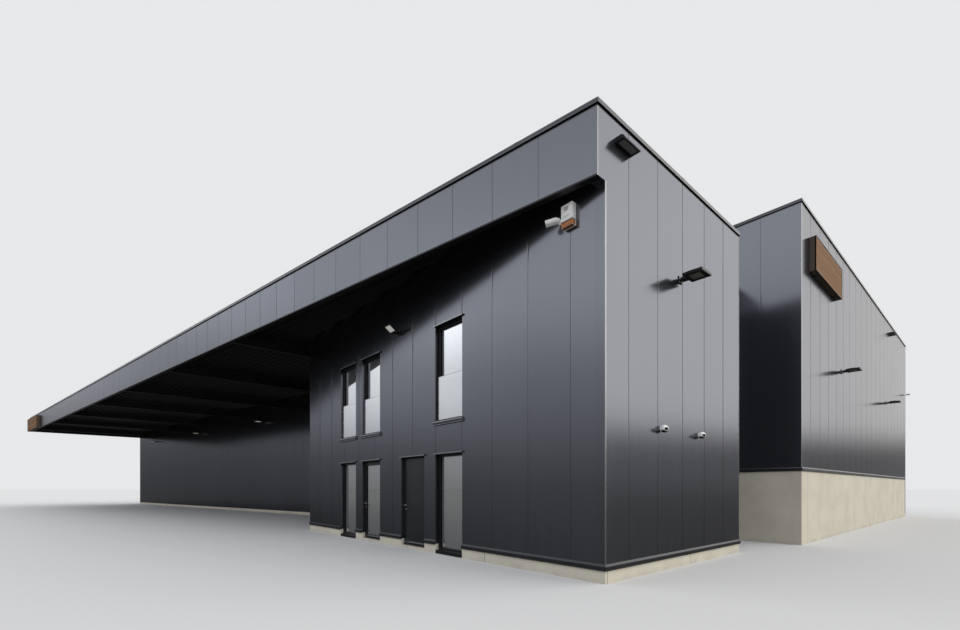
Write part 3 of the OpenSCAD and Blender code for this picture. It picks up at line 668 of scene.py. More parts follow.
@dataclass(frozen=True)
class Plastic(Finish):
    """Moulded plastic or rubber, with a fine grain. Its glow is a lamp's own light on lamp parts, and painted
    light on the white plastic, which is no lamp.
    """

    colour: Colour = (0.82, 0.83, 0.82)
    roughness: float = 0.38
    glow: float = 0.0

    def paint(self, sheet: NodeSheet) -> Wire:
        """Adds the finish's nodes.

        Args:
            sheet: the material's nodes.

        Returns:
            The shader.
        """
        grain = sheet.noise(sheet.place(), 400.0, 2.0)
        grime = sheet.noise(sheet.place(), 14.0, 4.0)
        return sheet.surface(
            Base_Color=sheet.blend(grime.step(0.5, 0.9) * 0.35, self.colour, shade(self.colour, 0.72)),
            Roughness=self.roughness + grime * 0.1,
            Normal=sheet.relief(grain, 0.00008),
            Emission_Color=self.colour,
            Emission_Strength=self.glow,
        )


@dataclass(frozen=True)
class TimberBoards(Finish):
    """Brown wood-look boards that lie along a direction, each with a grain and a tone of its own."""

    run: Plan2 = (0.0, 1.0)
    board: float = 0.07
    colour: Colour = (0.42, 0.225, 0.105)
    dark: Colour = (0.150, 0.085, 0.045)

    def paint(self, sheet: NodeSheet) -> Wire:
        """Adds the finish's nodes.

        Args:
            sheet: the material's nodes.

        Returns:
            The shader.
        """
        along = sheet.axis((*self.run, 0.0))
        up = sheet.axis((0, 0, 1)) / self.board
        number = up.floor()
        slide = along + sheet.chance(number) * 9.0
        vector = sheet.node("ShaderNodeCombineXYZ", {}, {0: slide * 2.4, 1: up * 2.6, 2: number})
        wave = sheet.node(
            "ShaderNodeTexWave",
            {"wave_type": "BANDS", "bands_direction": "Y"},
            {"Vector": vector, "Scale": 0.9, "Distortion": 5.5, "Detail": 3.0, "Detail Scale": 1.4},
            "Fac",
        )
        fibre = sheet.noise(sheet.stretched((26.0, 26.0, 420.0)), 1.0, 3.0)
        tone = sheet.chance(number + 3.1)
        grained = sheet.blend(wave * 0.55 + fibre * 0.30 + tone * 0.30 - 0.12, self.colour, self.dark)
        return sheet.surface(
            Base_Color=grained,
            Roughness=0.70 + fibre * 0.2,
            Specular_IOR_Level=0.2,
            Normal=sheet.relief(wave * 0.4 + fibre, 0.0004),
        )


class Finishes:
    """Every finish of the building, by the piece that wears it."""

    front = CladPanels("front_panels", (-1.0, 0.0), (0.0, 0.0), WALLS.front_first, 1.0)
    side = CladPanels("side_panels", (0.0, 1.0), (0.0, 0.0), WALLS.side_first, 31.0)
    trim = CoatedMetal("dark_trim_coat", (0.060, 0.061, 0.066), 0.7, 0.32)
    coping = CoatedMetal("coping_coat", (0.078, 0.080, 0.086), 0.8, 0.30)
    angle = CoatedMetal("angle_coat", (0.31, 0.315, 0.33), 0.85, 0.26)
    sill = CoatedMetal("sill_coat", (0.030, 0.031, 0.035), 0.5, 0.38)
    hem = CoatedMetal("hem_coat", (0.17, 0.173, 0.182), 0.85, 0.28)
    joint = CoatedMetal("joint_coat", (0.150, 0.154, 0.168), 0.85, 0.26, 0.02)
    bead = CoatedMetal("bead_coat", (0.075, 0.076, 0.082), 0.6, 0.30, 0.05)
    frame = CoatedMetal("frame_coat", (0.022, 0.022, 0.025), 0.45, 0.38, 0.05)
    door = CoatedMetal("door_coat", (0.060, 0.062, 0.068), 0.75, 0.33, 0.06)
    deck = CoatedMetal("deck_coat", (0.025, 0.025, 0.028), 0.35, 0.52, 0.10)
    beam = CoatedMetal("beam_coat", (0.070, 0.070, 0.077), 0.4, 0.50, 0.08)
    bolt = CoatedMetal("bolt_coat", (0.30, 0.30, 0.30), 0.9, 0.42, 0.10, 160.0)
    lamp = CoatedMetal("lamp_coat", (0.028, 0.028, 0.030), 0.4, 0.42, 0.06, 160.0)
    outlet = CoatedMetal("outlet_coat", (0.09, 0.09, 0.095), 0.3, 0.55, 0.10)
    precast = Precast("precast_front")
    precast_side = Precast("precast_side", (0.0, 1.0))
    floor = FloatedFloor("floated_floor")
    roof = RoofSheet("roof_sheet")
    pane = Pane("reflecting_pane")
    lamp_glass = Pane("lamp_glass", (0.06, 0.06, 0.06), 0.0, 0.70)
    steel = Brushed("brushed_steel")
    # The white plastic's glow is painted light: it lifts the cameras and the siren in the canopy's shade.
    white = Plastic("white_plastic_painted_glow", (0.90, 0.90, 0.89), 0.38, 0.12)
    lens = Plastic("lamp_board", (0.30, 0.31, 0.25), 0.30)
    diffuser = Plastic("lamp_diffuser", (0.13, 0.13, 0.135), 0.40, 0.10)
    spot_glass = Plastic("spot_glass", (0.80, 0.80, 0.74), 0.22, 0.30)
    eye = Plastic("camera_eye", (0.012, 0.012, 0.014), 0.08)
    amber = Plastic("siren_lens", (0.62, 0.22, 0.05), 0.16)
    band = Plastic("siren_band", (0.10, 0.018, 0.014), 0.30)
    seal = Plastic("black_seal", (0.012, 0.012, 0.012), 0.55)
    boards = TimberBoards("sign_boards")
    boards_fascia = TimberBoards("fascia_sign_boards", (math.cos(WALLS.skew), math.sin(WALLS.skew)))
    sign_rim = TimberBoards("sign_rim", (0.0, 1.0), 0.07, (0.30, 0.18, 0.095), (0.13, 0.075, 0.040))
    sign_side = CoatedMetal("sign_side", (0.120, 0.085, 0.061), 0.1, 0.60, 0.06, 90.0)

    @classmethod
    def recess(cls) -> CladPanels:
        """Panels of the recessed wall."""
        start = (WALLS.left, WALLS.recess_y(WALLS.left))
        return CladPanels("recess_panels", tuple(WALLS.along.xy), start, WALLS.panel, 61.0)

    @classmethod
    def fascia(cls) -> CladPanels:
        """Panels of the fascia."""
        start = (0.0, -WALLS.canopy_start)
        return CladPanels("fascia_panels", tuple(-WALLS.along.xy), start, WALLS.fascia_first, 91.0)

    @classmethod
    def fascia_end(cls) -> CladPanels:
        """Panels of the fascia's left end."""
        start = (WALLS.left, WALLS.recess_y(WALLS.left))
        return CladPanels("fascia_end_panels", (0.0, -1.0), start, WALLS.panel, 231.0)

    @classmethod
    def hall(cls, name: str, run: Plan2, seed: float, first: float = WALLS.panel) -> CladPanels:
        """Panels of one of the hall's square walls, whose row runs in a direction from its near corner."""
        start = (WALLS.step, WALLS.hall_front if run[1] > 0 else WALLS.back)
        return CladPanels(name, run, start, first, seed)


def dress_nodes(nodes: dict[str, bpy.types.Object]) -> None:
    """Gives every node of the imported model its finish.

    Args:
        nodes: the model's objects by node name.
    """
    step_start = (WALLS.step, WALLS.hall_front)
    block_start = (0.0, WALLS.hall_front)
    worn_by: dict[Finish, tuple[str, ...]] = {
        Finishes.front: (
            "front_wall_right", "front_wall_left", "front_wall_piers",
            "front_wall_spandrel", "front_wall_upper_piers", "front_wall_top",
        ),
        Finishes.side: ("block_right_wall",),
        Finishes.fascia(): ("fascia",),
        Finishes.fascia_end(): ("fascia_ends",),
        Finishes.recess(): ("recess_wall",),
        CladPanels("step_panels", (-1.0, 0.0), step_start, WALLS.panel, 21.0): ("hall_front_wall",),
        CladPanels("block_left_panels", (0.0, -1.0), block_start, WALLS.panel, 211.0): ("block_left_wall",),
        Finishes.hall("hall_side_panels", (0.0, 1.0), 121.0, WALLS.hall_first): ("hall_right_wall",),
        Finishes.hall("hall_back_panels", (-1.0, 0.0), 151.0): ("hall_back_wall",),
        Finishes.hall("hall_left_panels", (0.0, -1.0), 191.0): ("hall_left_wall",),
        Finishes.trim: ("plinth_flashings",),
        Finishes.sill: ("window_trims",),
        Finishes.coping: ("canopy_copings", "hall_copings"),
        Finishes.frame: ("window_frames", "door_frames", "glazed_door"),
        Finishes.door: ("solid_door",),
        Finishes.deck: ("canopy_deck",),
        Finishes.beam: ("canopy_beams",),
        Finishes.lamp: ("wall_lights",),
        Finishes.precast: ("front_plinth", "recess_plinth", "thresholds"),
        Finishes.precast_side: ("side_plinths", "hall_base_wall", "rear_plinths"),
        Finishes.floor: ("block_floor", "upper_floor", "hall_floor"),
        Finishes.roof: ("block_roof", "canopy_roof", "hall_roof"),
        Finishes.pane: ("window_glass", "glazed_door_glass"),
        Finishes.steel: ("solid_door_handle", "glazed_door_handle"),
        Finishes.white: ("cameras", "alarm_siren"),
        Finishes.sign_side: ("sign_boxes",),
    }
    for finish, names in worn_by.items():
        for name in names:
            slots = nodes[name].data.materials
            slots.clear()
            slots.append(finish.material())
            log.info("%s: wears %s", name, finish.name)


class Form:
    """A piece in the making, shaped by bmesh operators."""

    def __init__(self) -> None:
        """Starts an empty mesh."""
        self.mesh = bmesh.new()

    def soften(self, verts: Verts, width: float, segments: int) -> None:
        """Bevels every edge of the shape that has these vertices."""
        edges = list({edge for vert in verts for edge in vert.link_edges})
        self.bevel(edges, width, segments)

    def bevel(self, edges: list[bmesh.types.BMEdge], width: float, segments: int) -> None:
        """Bevels edges.

        Args:
            edges: the edges.
            width: the bevel's width.
            segments: the number of its facets.
        """
        bmesh.ops.bevel(
            self.mesh, geom=edges, offset=width, offset_type="OFFSET", segments=segments, profile=0.5,
            affect="EDGES", clamp_overlap=True, material=-1,
        )

    def push(self, faces: list[bmesh.types.BMFace], by: Vector) -> Verts:
        """Extrudes faces into a solid.

        Args:
            faces: the faces, which stay as the solid's near end.
            by: how far and which way their copy moves.

        Returns:
            The far end's vertices.
        """
        grown = bmesh.ops.extrude_face_region(self.mesh, geom=faces)["geom"]
        moved = [item for item in grown if isinstance(item, bmesh.types.BMVert)]
        bmesh.ops.translate(self.mesh, verts=moved, vec=by)
        return moved

    def box(
        self, low: Point, high: Point, place: Matrix = HERE, bevel: float = 0.0, segments: int = 1
    ) -> None:
        """Adds a box.

        Args:
            low: its lowest corner.
            high: its highest corner.
            place: the frame of those corners.
            bevel: width of its rounded edges.
            segments: facets of those edges.
        """
        size = Vector(high) - Vector(low)
        middle = (Vector(high) + Vector(low)) / 2
        matrix = place @ Matrix.Translation(middle) @ Matrix.Diagonal((*size, 1.0))
        made = bmesh.ops.create_cube(self.mesh, size=1.0, matrix=matrix)
        if bevel:
            self.soften(made["verts"], bevel, segments)

    def slab(
        self, half: float, ys: Span, zs: Span, place: Matrix = HERE, bevel: float = 0.0, segments: int = 1
    ) -> None:
        """Adds a box that is centred on X, between two Ys and two Zs."""
        self.box((-half, ys[0], zs[0]), (half, ys[1], zs[1]), place, bevel, segments)

    def rod(
        self, start: Point, end: Point, radius: float, place: Matrix = HERE, sides: int = 16,
        tip: float | None = None, bevel: float = 0.0,
    ) -> None:
        """Adds a round bar or a taper.

        Args:
            start: middle of its first end.
            end: middle of its other end.
            radius: its radius at the first end.
            place: the frame of those points.
            sides: the number of its facets.
            tip: its radius at the other end, where that differs.
            bevel: width of its rounded rims.
        """
        run = Vector(end) - Vector(start)
        turn = run.to_track_quat("Z", "Y").to_matrix().to_4x4()
        matrix = place @ Matrix.Translation((Vector(start) + Vector(end)) / 2) @ turn
        made = bmesh.ops.create_cone(
            self.mesh, cap_ends=True, segments=sides, radius1=radius, radius2=radius if tip is None else tip,
            depth=run.length, matrix=matrix,
        )
        if bevel:
            faces = {face for vert in made["verts"] for face in vert.link_faces}
            rims = {edge for face in faces if len(face.verts) == sides for edge in face.edges}
            self.bevel(list(rims), bevel, 2)

    def prism(
        self, outline: list[Point], push: Point, place: Matrix = HERE, bevel: float = 0.0, segments: int = 1
    ) -> Verts:
        """Adds an outline pushed into a solid.

        Args:
            outline: the corners of a flat face.
            push: how far and which way it is pushed.
            place: the frame of both.
            bevel: width of its rounded edges.
            segments: facets of those edges.

        Returns:
            The solid's vertices, as they were before any bevel.
        """
        corners = [self.mesh.verts.new(place @ Vector(point)) for point in outline]
        moved = self.push([self.mesh.faces.new(corners)], place.to_3x3() @ Vector(push))
        if bevel:
            self.soften([*corners, *moved], bevel, segments)
        return [*corners, *moved]

    def bar(
        self, section: Section, left: float, length: float, place: Matrix = HERE, bevel: float = 0.0
    ) -> None:
        """Adds a straight bar along X, from its left end. Its section has Y and Z pairs."""
        self.prism([(left, y, z) for y, z in section], (length, 0, 0), place, bevel)

    def ring(
        self, low: Plan2, high: Plan2, y: float, width: float, out: float, place: Matrix = HERE,
        bevel: float = 0.0,
    ) -> None:
        """Adds an upright rectangular ring, mitred at its corners.

        Args:
            low: X and Z of its lowest outer corner.
            high: X and Z of its highest outer corner.
            y: where its first face lies.
            width: width of its members.
            out: how far its other face is in front of that one.
            place: the frame of all these.
            bevel: width of its rounded edges.
        """
        corners = [(low[0], y, low[1]), (high[0], y, low[1]), (high[0], y, high[1]), (low[0], y, high[1])]
        face = self.mesh.faces.new([self.mesh.verts.new(place @ Vector(point)) for point in corners])
        border = bmesh.ops.inset_region(
            self.mesh, faces=[face], thickness=width, use_boundary=True, use_even_offset=True
        )["faces"]
        bmesh.ops.delete(self.mesh, geom=[face], context="FACES_ONLY")
        moved = self.push(border, place.to_3x3() @ Vector((0, -out, 0)))
        if bevel:
            rims = {edge for vert in moved for edge in vert.link_edges if edge.other_vert(vert) in moved}
            self.bevel([edge for edge in rims if edge.calc_face_angle(0.0) > 1.0], bevel, 1)

    def lathe(self, profile: Section, place: Matrix = HERE, steps: int = 24) -> None:
        """Adds a turned shape.

        Args:
            profile: radius and height pairs along the turned edge.
            place: the frame whose Z is the axis.
            steps: the number of its facets.
        """
        points = [self.mesh.verts.new(place @ Vector((radius, 0, height))) for radius, height in profile]
        edges = [self.mesh.edges.new(pair) for pair in zip(points, points[1:])]
        axis = place.to_3x3() @ UP
        bmesh.ops.spin(
            self.mesh, geom=[*points, *edges], cent=place.translation, axis=axis, dvec=(0, 0, 0),
            angle=math.tau, steps=steps, use_merge=True, use_duplicate=False,
        )
        bmesh.ops.remove_doubles(self.mesh, verts=self.mesh.verts[:], dist=1e-6)

    def ball(self, centre: Point, radius: float, place: Matrix = HERE, squash: float = 1.0) -> None:
        """Adds a ball, whose height may be squashed to a share of its width."""
        matrix = place @ Matrix.Translation(centre) @ Matrix.Diagonal((1.0, 1.0, squash, 1.0))
        bmesh.ops.create_uvsphere(self.mesh, u_segments=24, v_segments=14, radius=radius, matrix=matrix)

    def piece(self, name: str, finish: Finish, slot: Slot, body: str = ROOT) -> None:
        """Ends the mesh, dresses it and lets it ride.

        Args:
            name: the piece's name.
            finish: what it wears.
            slot: not used.
            body: the body that it rides on.
        """
        bmesh.ops.recalc_face_normals(self.mesh, faces=self.mesh.faces[:])
        for face in self.mesh.faces:
            face.smooth = True
        data = bpy.data.meshes.new(name)
        self.mesh.to_mesh(data)
        self.mesh.free()
        data.set_sharp_from_angle(angle=CRISP)
        data.materials.append(finish.material())
        made = bpy.data.objects.new(name, data)
        bpy.context.scene.collection.objects.link(made)
        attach(made, body)
        log.info("%s: %d faces, rides on %s", name, len(data.polygons), body)


def on_wall(x: float, y: float, z: float = 0.0, turn: Facing = Facing.FRONT) -> Matrix:
    """A frame on a wall, whose -Y stands out of the wall and whose +X runs along it."""
    return Matrix.Translation((x, y, z)) @ Matrix.Rotation(turn.value, 4, "Z")


def shrink(low: Plan2, high: Plan2, by: float) -> tuple[Plan2, Plan2]:
    """The two corners of a rectangle that is made smaller on every side."""
    return (low[0] + by, low[1] + by), (high[0] - by, high[1] - by)


@dataclass(frozen=True)
class WallRun:
    """A straight wall that carries trims, from its left end as it is seen from outside."""

    start: Plan2
    turn: Facing
    length: float

    def at(self, distance: float, out: float, z: float) -> Matrix:
        """A frame on the wall, at a distance from its start, out of its face and at a height."""
        x, y = self.start
        return on_wall(x, y, z, self.turn) @ Matrix.Translation((distance, -out, 0))

    def spread(self, pitch: float) -> list[float]:
        """Distances from the wall's start of evenly spread pieces, at least a pitch apart."""
        count = max(1, int(self.length / pitch))
        return [self.length * (number + 0.5) / count for number in range(count)]


def outer_walls() -> dict[str, WallRun]:
    """The outer walls that more than one kind of trim follows.

    Returns:
        The walls by name.
    """
    end, step, rear, start = WALLS.left, WALLS.step, WALLS.back, WALLS.hall_front
    recess = (end, WALLS.recess_y(end))
    recess_l = (WALLS.block_left - end) / math.cos(WALLS.skew)
    return {
        "fascia": WallRun((end, WALLS.fascia_y(end)), Facing.SKEWED, WALLS.canopy_l),
        "fascia_end": WallRun(recess, Facing.LEFT, WALLS.canopy_end),
        "recess": WallRun(recess, Facing.SKEWED, recess_l),
        "block_right": WallRun((0, 0), Facing.RIGHT, WALLS.side_end),
        "hall_right": WallRun((step, start), Facing.RIGHT, rear - start),
        "hall_back": WallRun((step, rear), Facing.BACK, step - end),
        "hall_left": WallRun((end, rear), Facing.LEFT, rear - recess[1]),
    }


@dataclass(frozen=True)
class CornerTrims:
    """Folded metal angles over the outer corners of the cladding."""

    slim: float = 0.004
    broad: float = 0.015
    fascia_leg: float = 0.008
    sheet: float = 0.0014
    fold: float = 0.0012
    deck_gap: float = 0.004
    cap_gap: float = 0.002

    def angle(
        self, form: Form, corner: Plan2, legs: tuple[Vector, Vector], faces: tuple[Vector, Vector],
        heights: Span, second_leg: float,
    ) -> None:
        """Adds one angle.

        Args:
            form: what it is added to.
            corner: the wall's corner in plan.
            legs: directions of the two legs, away from the corner.
            faces: outward directions of the two faces.
            heights: its foot and its top.
            second_leg: width of the second leg.
        """
        first, second = (Vector((*leg, 0)).normalized() for leg in legs)
        out_1, out_2 = (Vector((*face, 0)).normalized() for face in faces)
        cross = out_1.x * out_2.y - out_1.y * out_2.x
        nose = Vector(((out_2.y - out_1.y) / cross, (out_1.x - out_2.x) / cross, 0)) * self.sheet
        outline = [
            first * self.slim, first * self.slim + out_1 * self.sheet, nose,
            second * second_leg + out_2 * self.sheet, second * second_leg, Vector((0, 0, 0)),
        ]
        low, high = heights
        verts = form.prism(outline, (0, 0, high - low), Matrix.Translation((*corner, low)))
        upright = [edge for edge in verts[2].link_edges if abs(edge.calc_length() - (high - low)) < 1e-6]
        form.bevel(upright, self.fold, 2)

    def build(self) -> None:
        """Builds the angles of the block, of the canopy and of the hall."""
        along, outward = WALLS.along.xy, WALLS.outward.xy
        left, right, front, back = Vector((-1, 0)), Vector((1, 0)), Vector((0, -1)), Vector((0, 1))
        end, step, rear, start = WALLS.left, WALLS.step, WALLS.back, WALLS.hall_front
        near, far, recess = (0, WALLS.fascia_y(0)), (end, WALLS.fascia_y(end)), (end, WALLS.recess_y(end))
        plinth, base, low = WALLS.plinth_top, WALLS.base_top, WALLS.fascia_low
        clad, hall_clad = WALLS.block_clad, WALLS.hall_clad
        under_deck = WALLS.deck_low - self.deck_gap
        over_coping = clad + WALLS.coping_h + self.cap_gap
        table = {
            "block_corner_angles": (self.broad, [
                ((0, 0), (left, back), (front, right), (plinth, low)),
                ((0, WALLS.side_end), (left, front), (back, right), (plinth, clad)),
                ((WALLS.block_left, 0), (right, back), (front, left), (plinth, under_deck)),
            ]),
            "fascia_corner_angles": (self.fascia_leg, [
                (near, (-along, back), (outward, right), (low, clad)),
                (far, (along, back), (outward, left), (low, clad)),
            ]),
            "hall_corner_angles": (self.broad, [
                ((step, start), (left, back), (front, right), (base, hall_clad)),
                ((step, rear), (front, left), (right, back), (base, hall_clad)),
                ((end, rear), (front, right), (left, back), (WALLS.low_plinth, hall_clad)),
                (recess, (back, along), (left, outward), (WALLS.low_plinth, low)),
                (recess, (back, along), (left, outward), (over_coping, hall_clad)),
            ]),
        }
        for name, (second_leg, corners) in table.items():
            form = Form()
            for corner, legs, faces, heights in corners:
                self.angle(form, corner, legs, faces, heights, second_leg)
            form.piece(name, Finishes.angle, Slot.TRIM)


@dataclass(frozen=True)
class Copings:
    """Butt straps, drip hems and closing strips of the wall cappings."""

    strap_w: float = 0.055
    sheet: float = 0.0010
    pitch: float = 1.5
    hem: Section = ((0, 0), (-0.0035, -0.0010), (-0.0035, 0.0015), (0, 0.0065))
    closer: Section = ((0.0008, 0), (0.0008, 0.011), (0.012, 0.011), (0.012, 0))

    def strap(self, form: Form, thick: float, place: Matrix) -> None:
        """Adds a strap folded over the cap.

        Args:
            form: what it is added to.
            thick: the wall's thickness.
            place: the strap's left end, at the cap's lower outer edge.
        """
        deep, high, t = thick + 2 * WALLS.cap_out, WALLS.cap_h, self.sheet
        section = (
            (-t, 0), (-t, high + t), (deep + t, high + t), (deep + t, 0),
            (deep, 0), (deep, high), (0, high), (0, 0),
        )
        form.bar(section, 0, self.strap_w, place)

    def dress(self, name: str, top: float, runs: list[tuple[WallRun, float]]) -> None:
        """Builds the straps, hems and closing strips of one roof.

        Args:
            name: what the pieces' names start with.
            top: the copings' top.
            runs: its walls, each with its thickness.
        """
        straps, hems, closers = Form(), Form(), Form()
        out, edge = WALLS.cap_out, top - WALLS.cap_h
        for run, thick in runs:
            hems.bar(self.hem, 0, run.length + 2 * out, run.at(-out, out, edge))
            closers.bar(self.closer, 0, run.length, run.at(0, 0, top - WALLS.coping_h))
            for middle in run.spread(self.pitch):
                self.strap(straps, thick, run.at(middle - self.strap_w / 2, out, edge))
        straps.piece(f"{name}_coping_straps", Finishes.coping, Slot.TRIM)
        hems.piece(f"{name}_coping_hems", Finishes.hem, Slot.TRIM)
        closers.piece(f"{name}_coping_closers", Finishes.coping, Slot.TRIM)

    def build(self) -> None:
        """Builds the coping parts of both roofs."""
        walls, t, thin = outer_walls(), WALLS.wall_t, WALLS.fascia_t
        near_y = WALLS.fascia_y(0)
        side = WallRun((0, near_y), Facing.RIGHT, WALLS.side_end - near_y)
        step_l = WALLS.step - WALLS.block_left
        hall_front = WallRun((WALLS.block_left, WALLS.hall_front), Facing.FRONT, step_l)
        self.dress("block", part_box("canopy_copings")[1].z, [
            (walls["fascia"], thin), (walls["fascia_end"], thin), (side, t),
        ])
        self.dress("hall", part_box("hall_copings")[1].z, [
            (walls["recess"], t), (hall_front, t), (walls["hall_right"], t),
            (walls["hall_back"], t), (walls["hall_left"], t),
        ])


@dataclass(frozen=True)
class PlinthTrims:
    """Lap joints of the flashings over the concrete, and the fascia's lower capping."""

    lap_w: float = 0.045
    proud: float = 0.0012
    pitch: float = 1.5
    bend: float = 0.6
    tail: float = 1 / 6
    lip_h: float = 0.014
    lip_start: float = 0.02
    lip_short: float = 0.07

    def build(self) -> None:
        """Builds the laps over the flashings and the capping of the fascia's lower edge."""
        walls = outer_walls()
        first_window, past_windows = Openings.upper[0].right, Openings.upper[-1].left
        right = WallRun((-first_window, 0), Facing.FRONT, first_window)
        left = WallRun((WALLS.block_left, 0), Facing.FRONT, -WALLS.block_left - past_windows)
        runs = [
            (right, WALLS.plinth_top), (left, WALLS.plinth_top), (walls["block_right"], WALLS.plinth_top),
            (walls["hall_right"], WALLS.base_top),
        ]
        high, out, t = WALLS.flashing_h, WALLS.flashing_out, self.proud
        foot = -high * self.tail - t
        section = (
            (0, high), (-t, high), (-out - t, high * self.bend + t / 2), (-out - t, foot),
            (-out / 2, foot), (-out / 2, 0),
        )
        form = Form()
        for run, top in runs:
            for distance in run.spread(self.pitch):
                form.bar(section, 0, self.lap_w, run.at(distance, 0, top - high))
        form.piece("flashing_laps", Finishes.trim, Slot.TRIM)
        deep, lip = WALLS.fascia_t, self.lip_h
        outer = ((-t, lip), (-t, -t), (deep + t, -t), (deep + t, lip))
        channel = (*outer, (deep, lip), (deep, 0), (0, 0), (0, lip))
        capping = Form()
        for run, short in ((walls["fascia"], 0.0), (walls["fascia_end"], self.lip_short)):
            place = run.at(self.lip_start, 0, WALLS.fascia_low)
            capping.bar(channel, 0, run.length - self.lip_start - short, place)
        capping.piece("fascia_lower_capping", Finishes.frame, Slot.TRIM)


@dataclass(frozen=True)
class Opening:
    """An opening in the block's front wall, measured from the near corner."""

    right: float
    width: float
    low: float
    high: float

    @property
    def left(self) -> float:
        """Distance of its left edge from the near corner."""
        return self.right + self.width


@dataclass(frozen=True)
class Openings:
    """Glazing beads, seals, guard fixings, drips and foot plates of the windows and doorways."""

    upper: tuple[Opening, ...] = (
        Opening(1.847, 0.500, 1.570, 2.705), Opening(3.695, 0.535, 1.570, 2.705),
        Opening(4.450, 0.535, 1.570, 2.705),
    )
    ground: tuple[Opening, ...] = (Opening(1.847, 0.500, 0.040, 1.185), Opening(4.450, 0.535, 0.040, 1.185))
    doorways: tuple[Opening, ...] = (
        Opening(2.585, 0.535, 0.040, 1.185), Opening(3.695, 0.535, 0.040, 1.185),
    )
    frame_w: float = 0.034
    frame_y: float = 0.043
    glass_y: float = 0.066
    sash: Span = (0.013, 0.0032)
    bead: Span = (0.009, 0.013)
    seal: Span = (0.004, 0.005)
    trim_out: float = 0.022
    trim_past: float = 0.026
    trim_h: float = 0.010
    nose: Section = ((0.003, 0.001), (-0.0012, -0.005), (-0.0012, 0.0085), (0.003, 0.0105))
    sill_lip: float = 0.045
    plate_half: float = 0.001
    plate_past: float = 0.0015
    hem_ys: Span = (-0.002, 0.004)
    hem_zs: Span = (-0.001, 0.006)
    guard_in: float = 0.012
    guard_h: float = 0.530
    rail_ys: Span = (0.0245, 0.0355)
    rail_h: float = 0.0035
    clamp_in: float = 0.014
    clamp_ys: Span = (0.027, 0.0225)
    clamp_r: float = 0.008
    clamp_shares: tuple[float, ...] = (0.14, 0.5, 0.86)
    foot: Section = (
        (-0.003, 0.003), (-0.003, 0.0445), (0.0415, 0.0445), (0.0415, 0.0395), (0, 0.0395), (0, 0.003),
    )
    tread_in: float = 0.004
    tread_ys: Span = (0.002, 0.038)
    tread_zs: Span = (0.0395, 0.0410)
    ribs: int = 4
    rib_first: float = 0.006
    rib_pitch: float = 0.009
    rib_w: float = 0.003
    rib_zs: Span = (0.0405, 0.0418)

    def glazing(self, beads: Form, seals: Form, opening: Opening) -> None:
        """Adds the sash line, bead and seal round one pane.

        Args:
            beads: the metal piece in the making.
            seals: the rubber piece in the making.
            opening: the pane's opening.
        """
        low, high = (-opening.left, opening.low), (-opening.right, opening.high)
        beads.ring(low, high, self.frame_y, *self.sash, bevel=0.001)
        low, high = shrink(low, high, self.frame_w)
        beads.ring(low, high, self.glass_y, *self.bead, bevel=0.0015)
        low, high = shrink(low, high, self.bead[0])
        seals.ring(low, high, self.glass_y, *self.seal)

    def drip(self, form: Form, opening: Opening, z: float) -> None:
        """Adds the turned-down nose of a head or sill trim.

        Args:
            form: what it is added to.
            opening: the opening that it is over or under.
            z: the trim's lower face.
        """
        left, right = -opening.left - self.trim_past, -opening.right + self.trim_past
        section = [(y - self.trim_out, z + rise) for y, rise in self.nose]
        form.bar(section, left, right - left)

    def sill(self, form: Form, opening: Opening) -> None:
        """Adds the end plates and the lower hem of a sill.

        Args:
            form: what it is added to.
            opening: the window that it is under.
        """
        left, right = -opening.left - self.trim_past, -opening.right + self.trim_past
        front, foot, past = -self.trim_out, opening.low - self.sill_lip, self.plate_past
        for x in (left, right):
            low = (x - self.plate_half, front - past, foot - past)
            form.box(low, (x + self.plate_half, 0, opening.low + past))
        low = (left, front + self.hem_ys[0], foot + self.hem_zs[0])
        form.box(low, (right, front + self.hem_ys[1], foot + self.hem_zs[1]), bevel=0.0008)

    def guard(self, metal: Form, opening: Opening) -> None:
        """Adds the clamps and the top rail of one fall guard.

        Args:
            metal: the steel piece in the making.
            opening: the window that it guards.
        """
        left, right = -opening.left + self.guard_in, -opening.right - self.guard_in
        top = opening.low + self.guard_h
        front, rear = self.rail_ys
        metal.box((left, front, top), (right, rear, top + self.rail_h), bevel=0.001)
        inner, outer = self.clamp_ys
        for x in (left + self.clamp_in, right - self.clamp_in):
            for share in self.clamp_shares:
                z = opening.low + self.guard_h * share
                metal.rod((x, inner, z), (x, outer, z), self.clamp_r, bevel=0.001)

    def build(self) -> None:
        """Builds the parts round every opening."""
        beads, seals, drips, guards, feet = Form(), Form(), Form(), Form(), Form()
        for opening in (*self.upper, *self.ground):
            self.glazing(beads, seals, opening)
        for opening in (*self.upper, *self.ground, *self.doorways):
            self.drip(drips, opening, opening.high)
        for opening in self.upper:
            self.drip(drips, opening, opening.low - self.trim_h)
            self.sill(drips, opening)
            self.guard(guards, opening)
        for opening in self.ground:
            feet.bar(self.foot, -opening.left, opening.width, bevel=0.0008)
        for opening in self.doorways:
            left, right = -opening.left + self.tread_in, -opening.right - self.tread_in
            feet.box((left, self.tread_ys[0], self.tread_zs[0]), (right, self.tread_ys[1], self.tread_zs[1]))
            for number in range(self.ribs):
                y = self.rib_first + number * self.rib_pitch
                feet.box((left, y, self.rib_zs[0]), (right, y + self.rib_w, self.rib_zs[1]))
        beads.piece("window_beads", Finishes.bead, Slot.TRIM)
        seals.piece("window_seals", Finishes.seal, Slot.TRIM)
        drips.piece("trim_drips", Finishes.angle, Slot.TRIM)
        guards.piece("guard_fixings", Finishes.steel, Slot.STEEL)
        feet.piece("threshold_plates", Finishes.frame, Slot.TRIM)


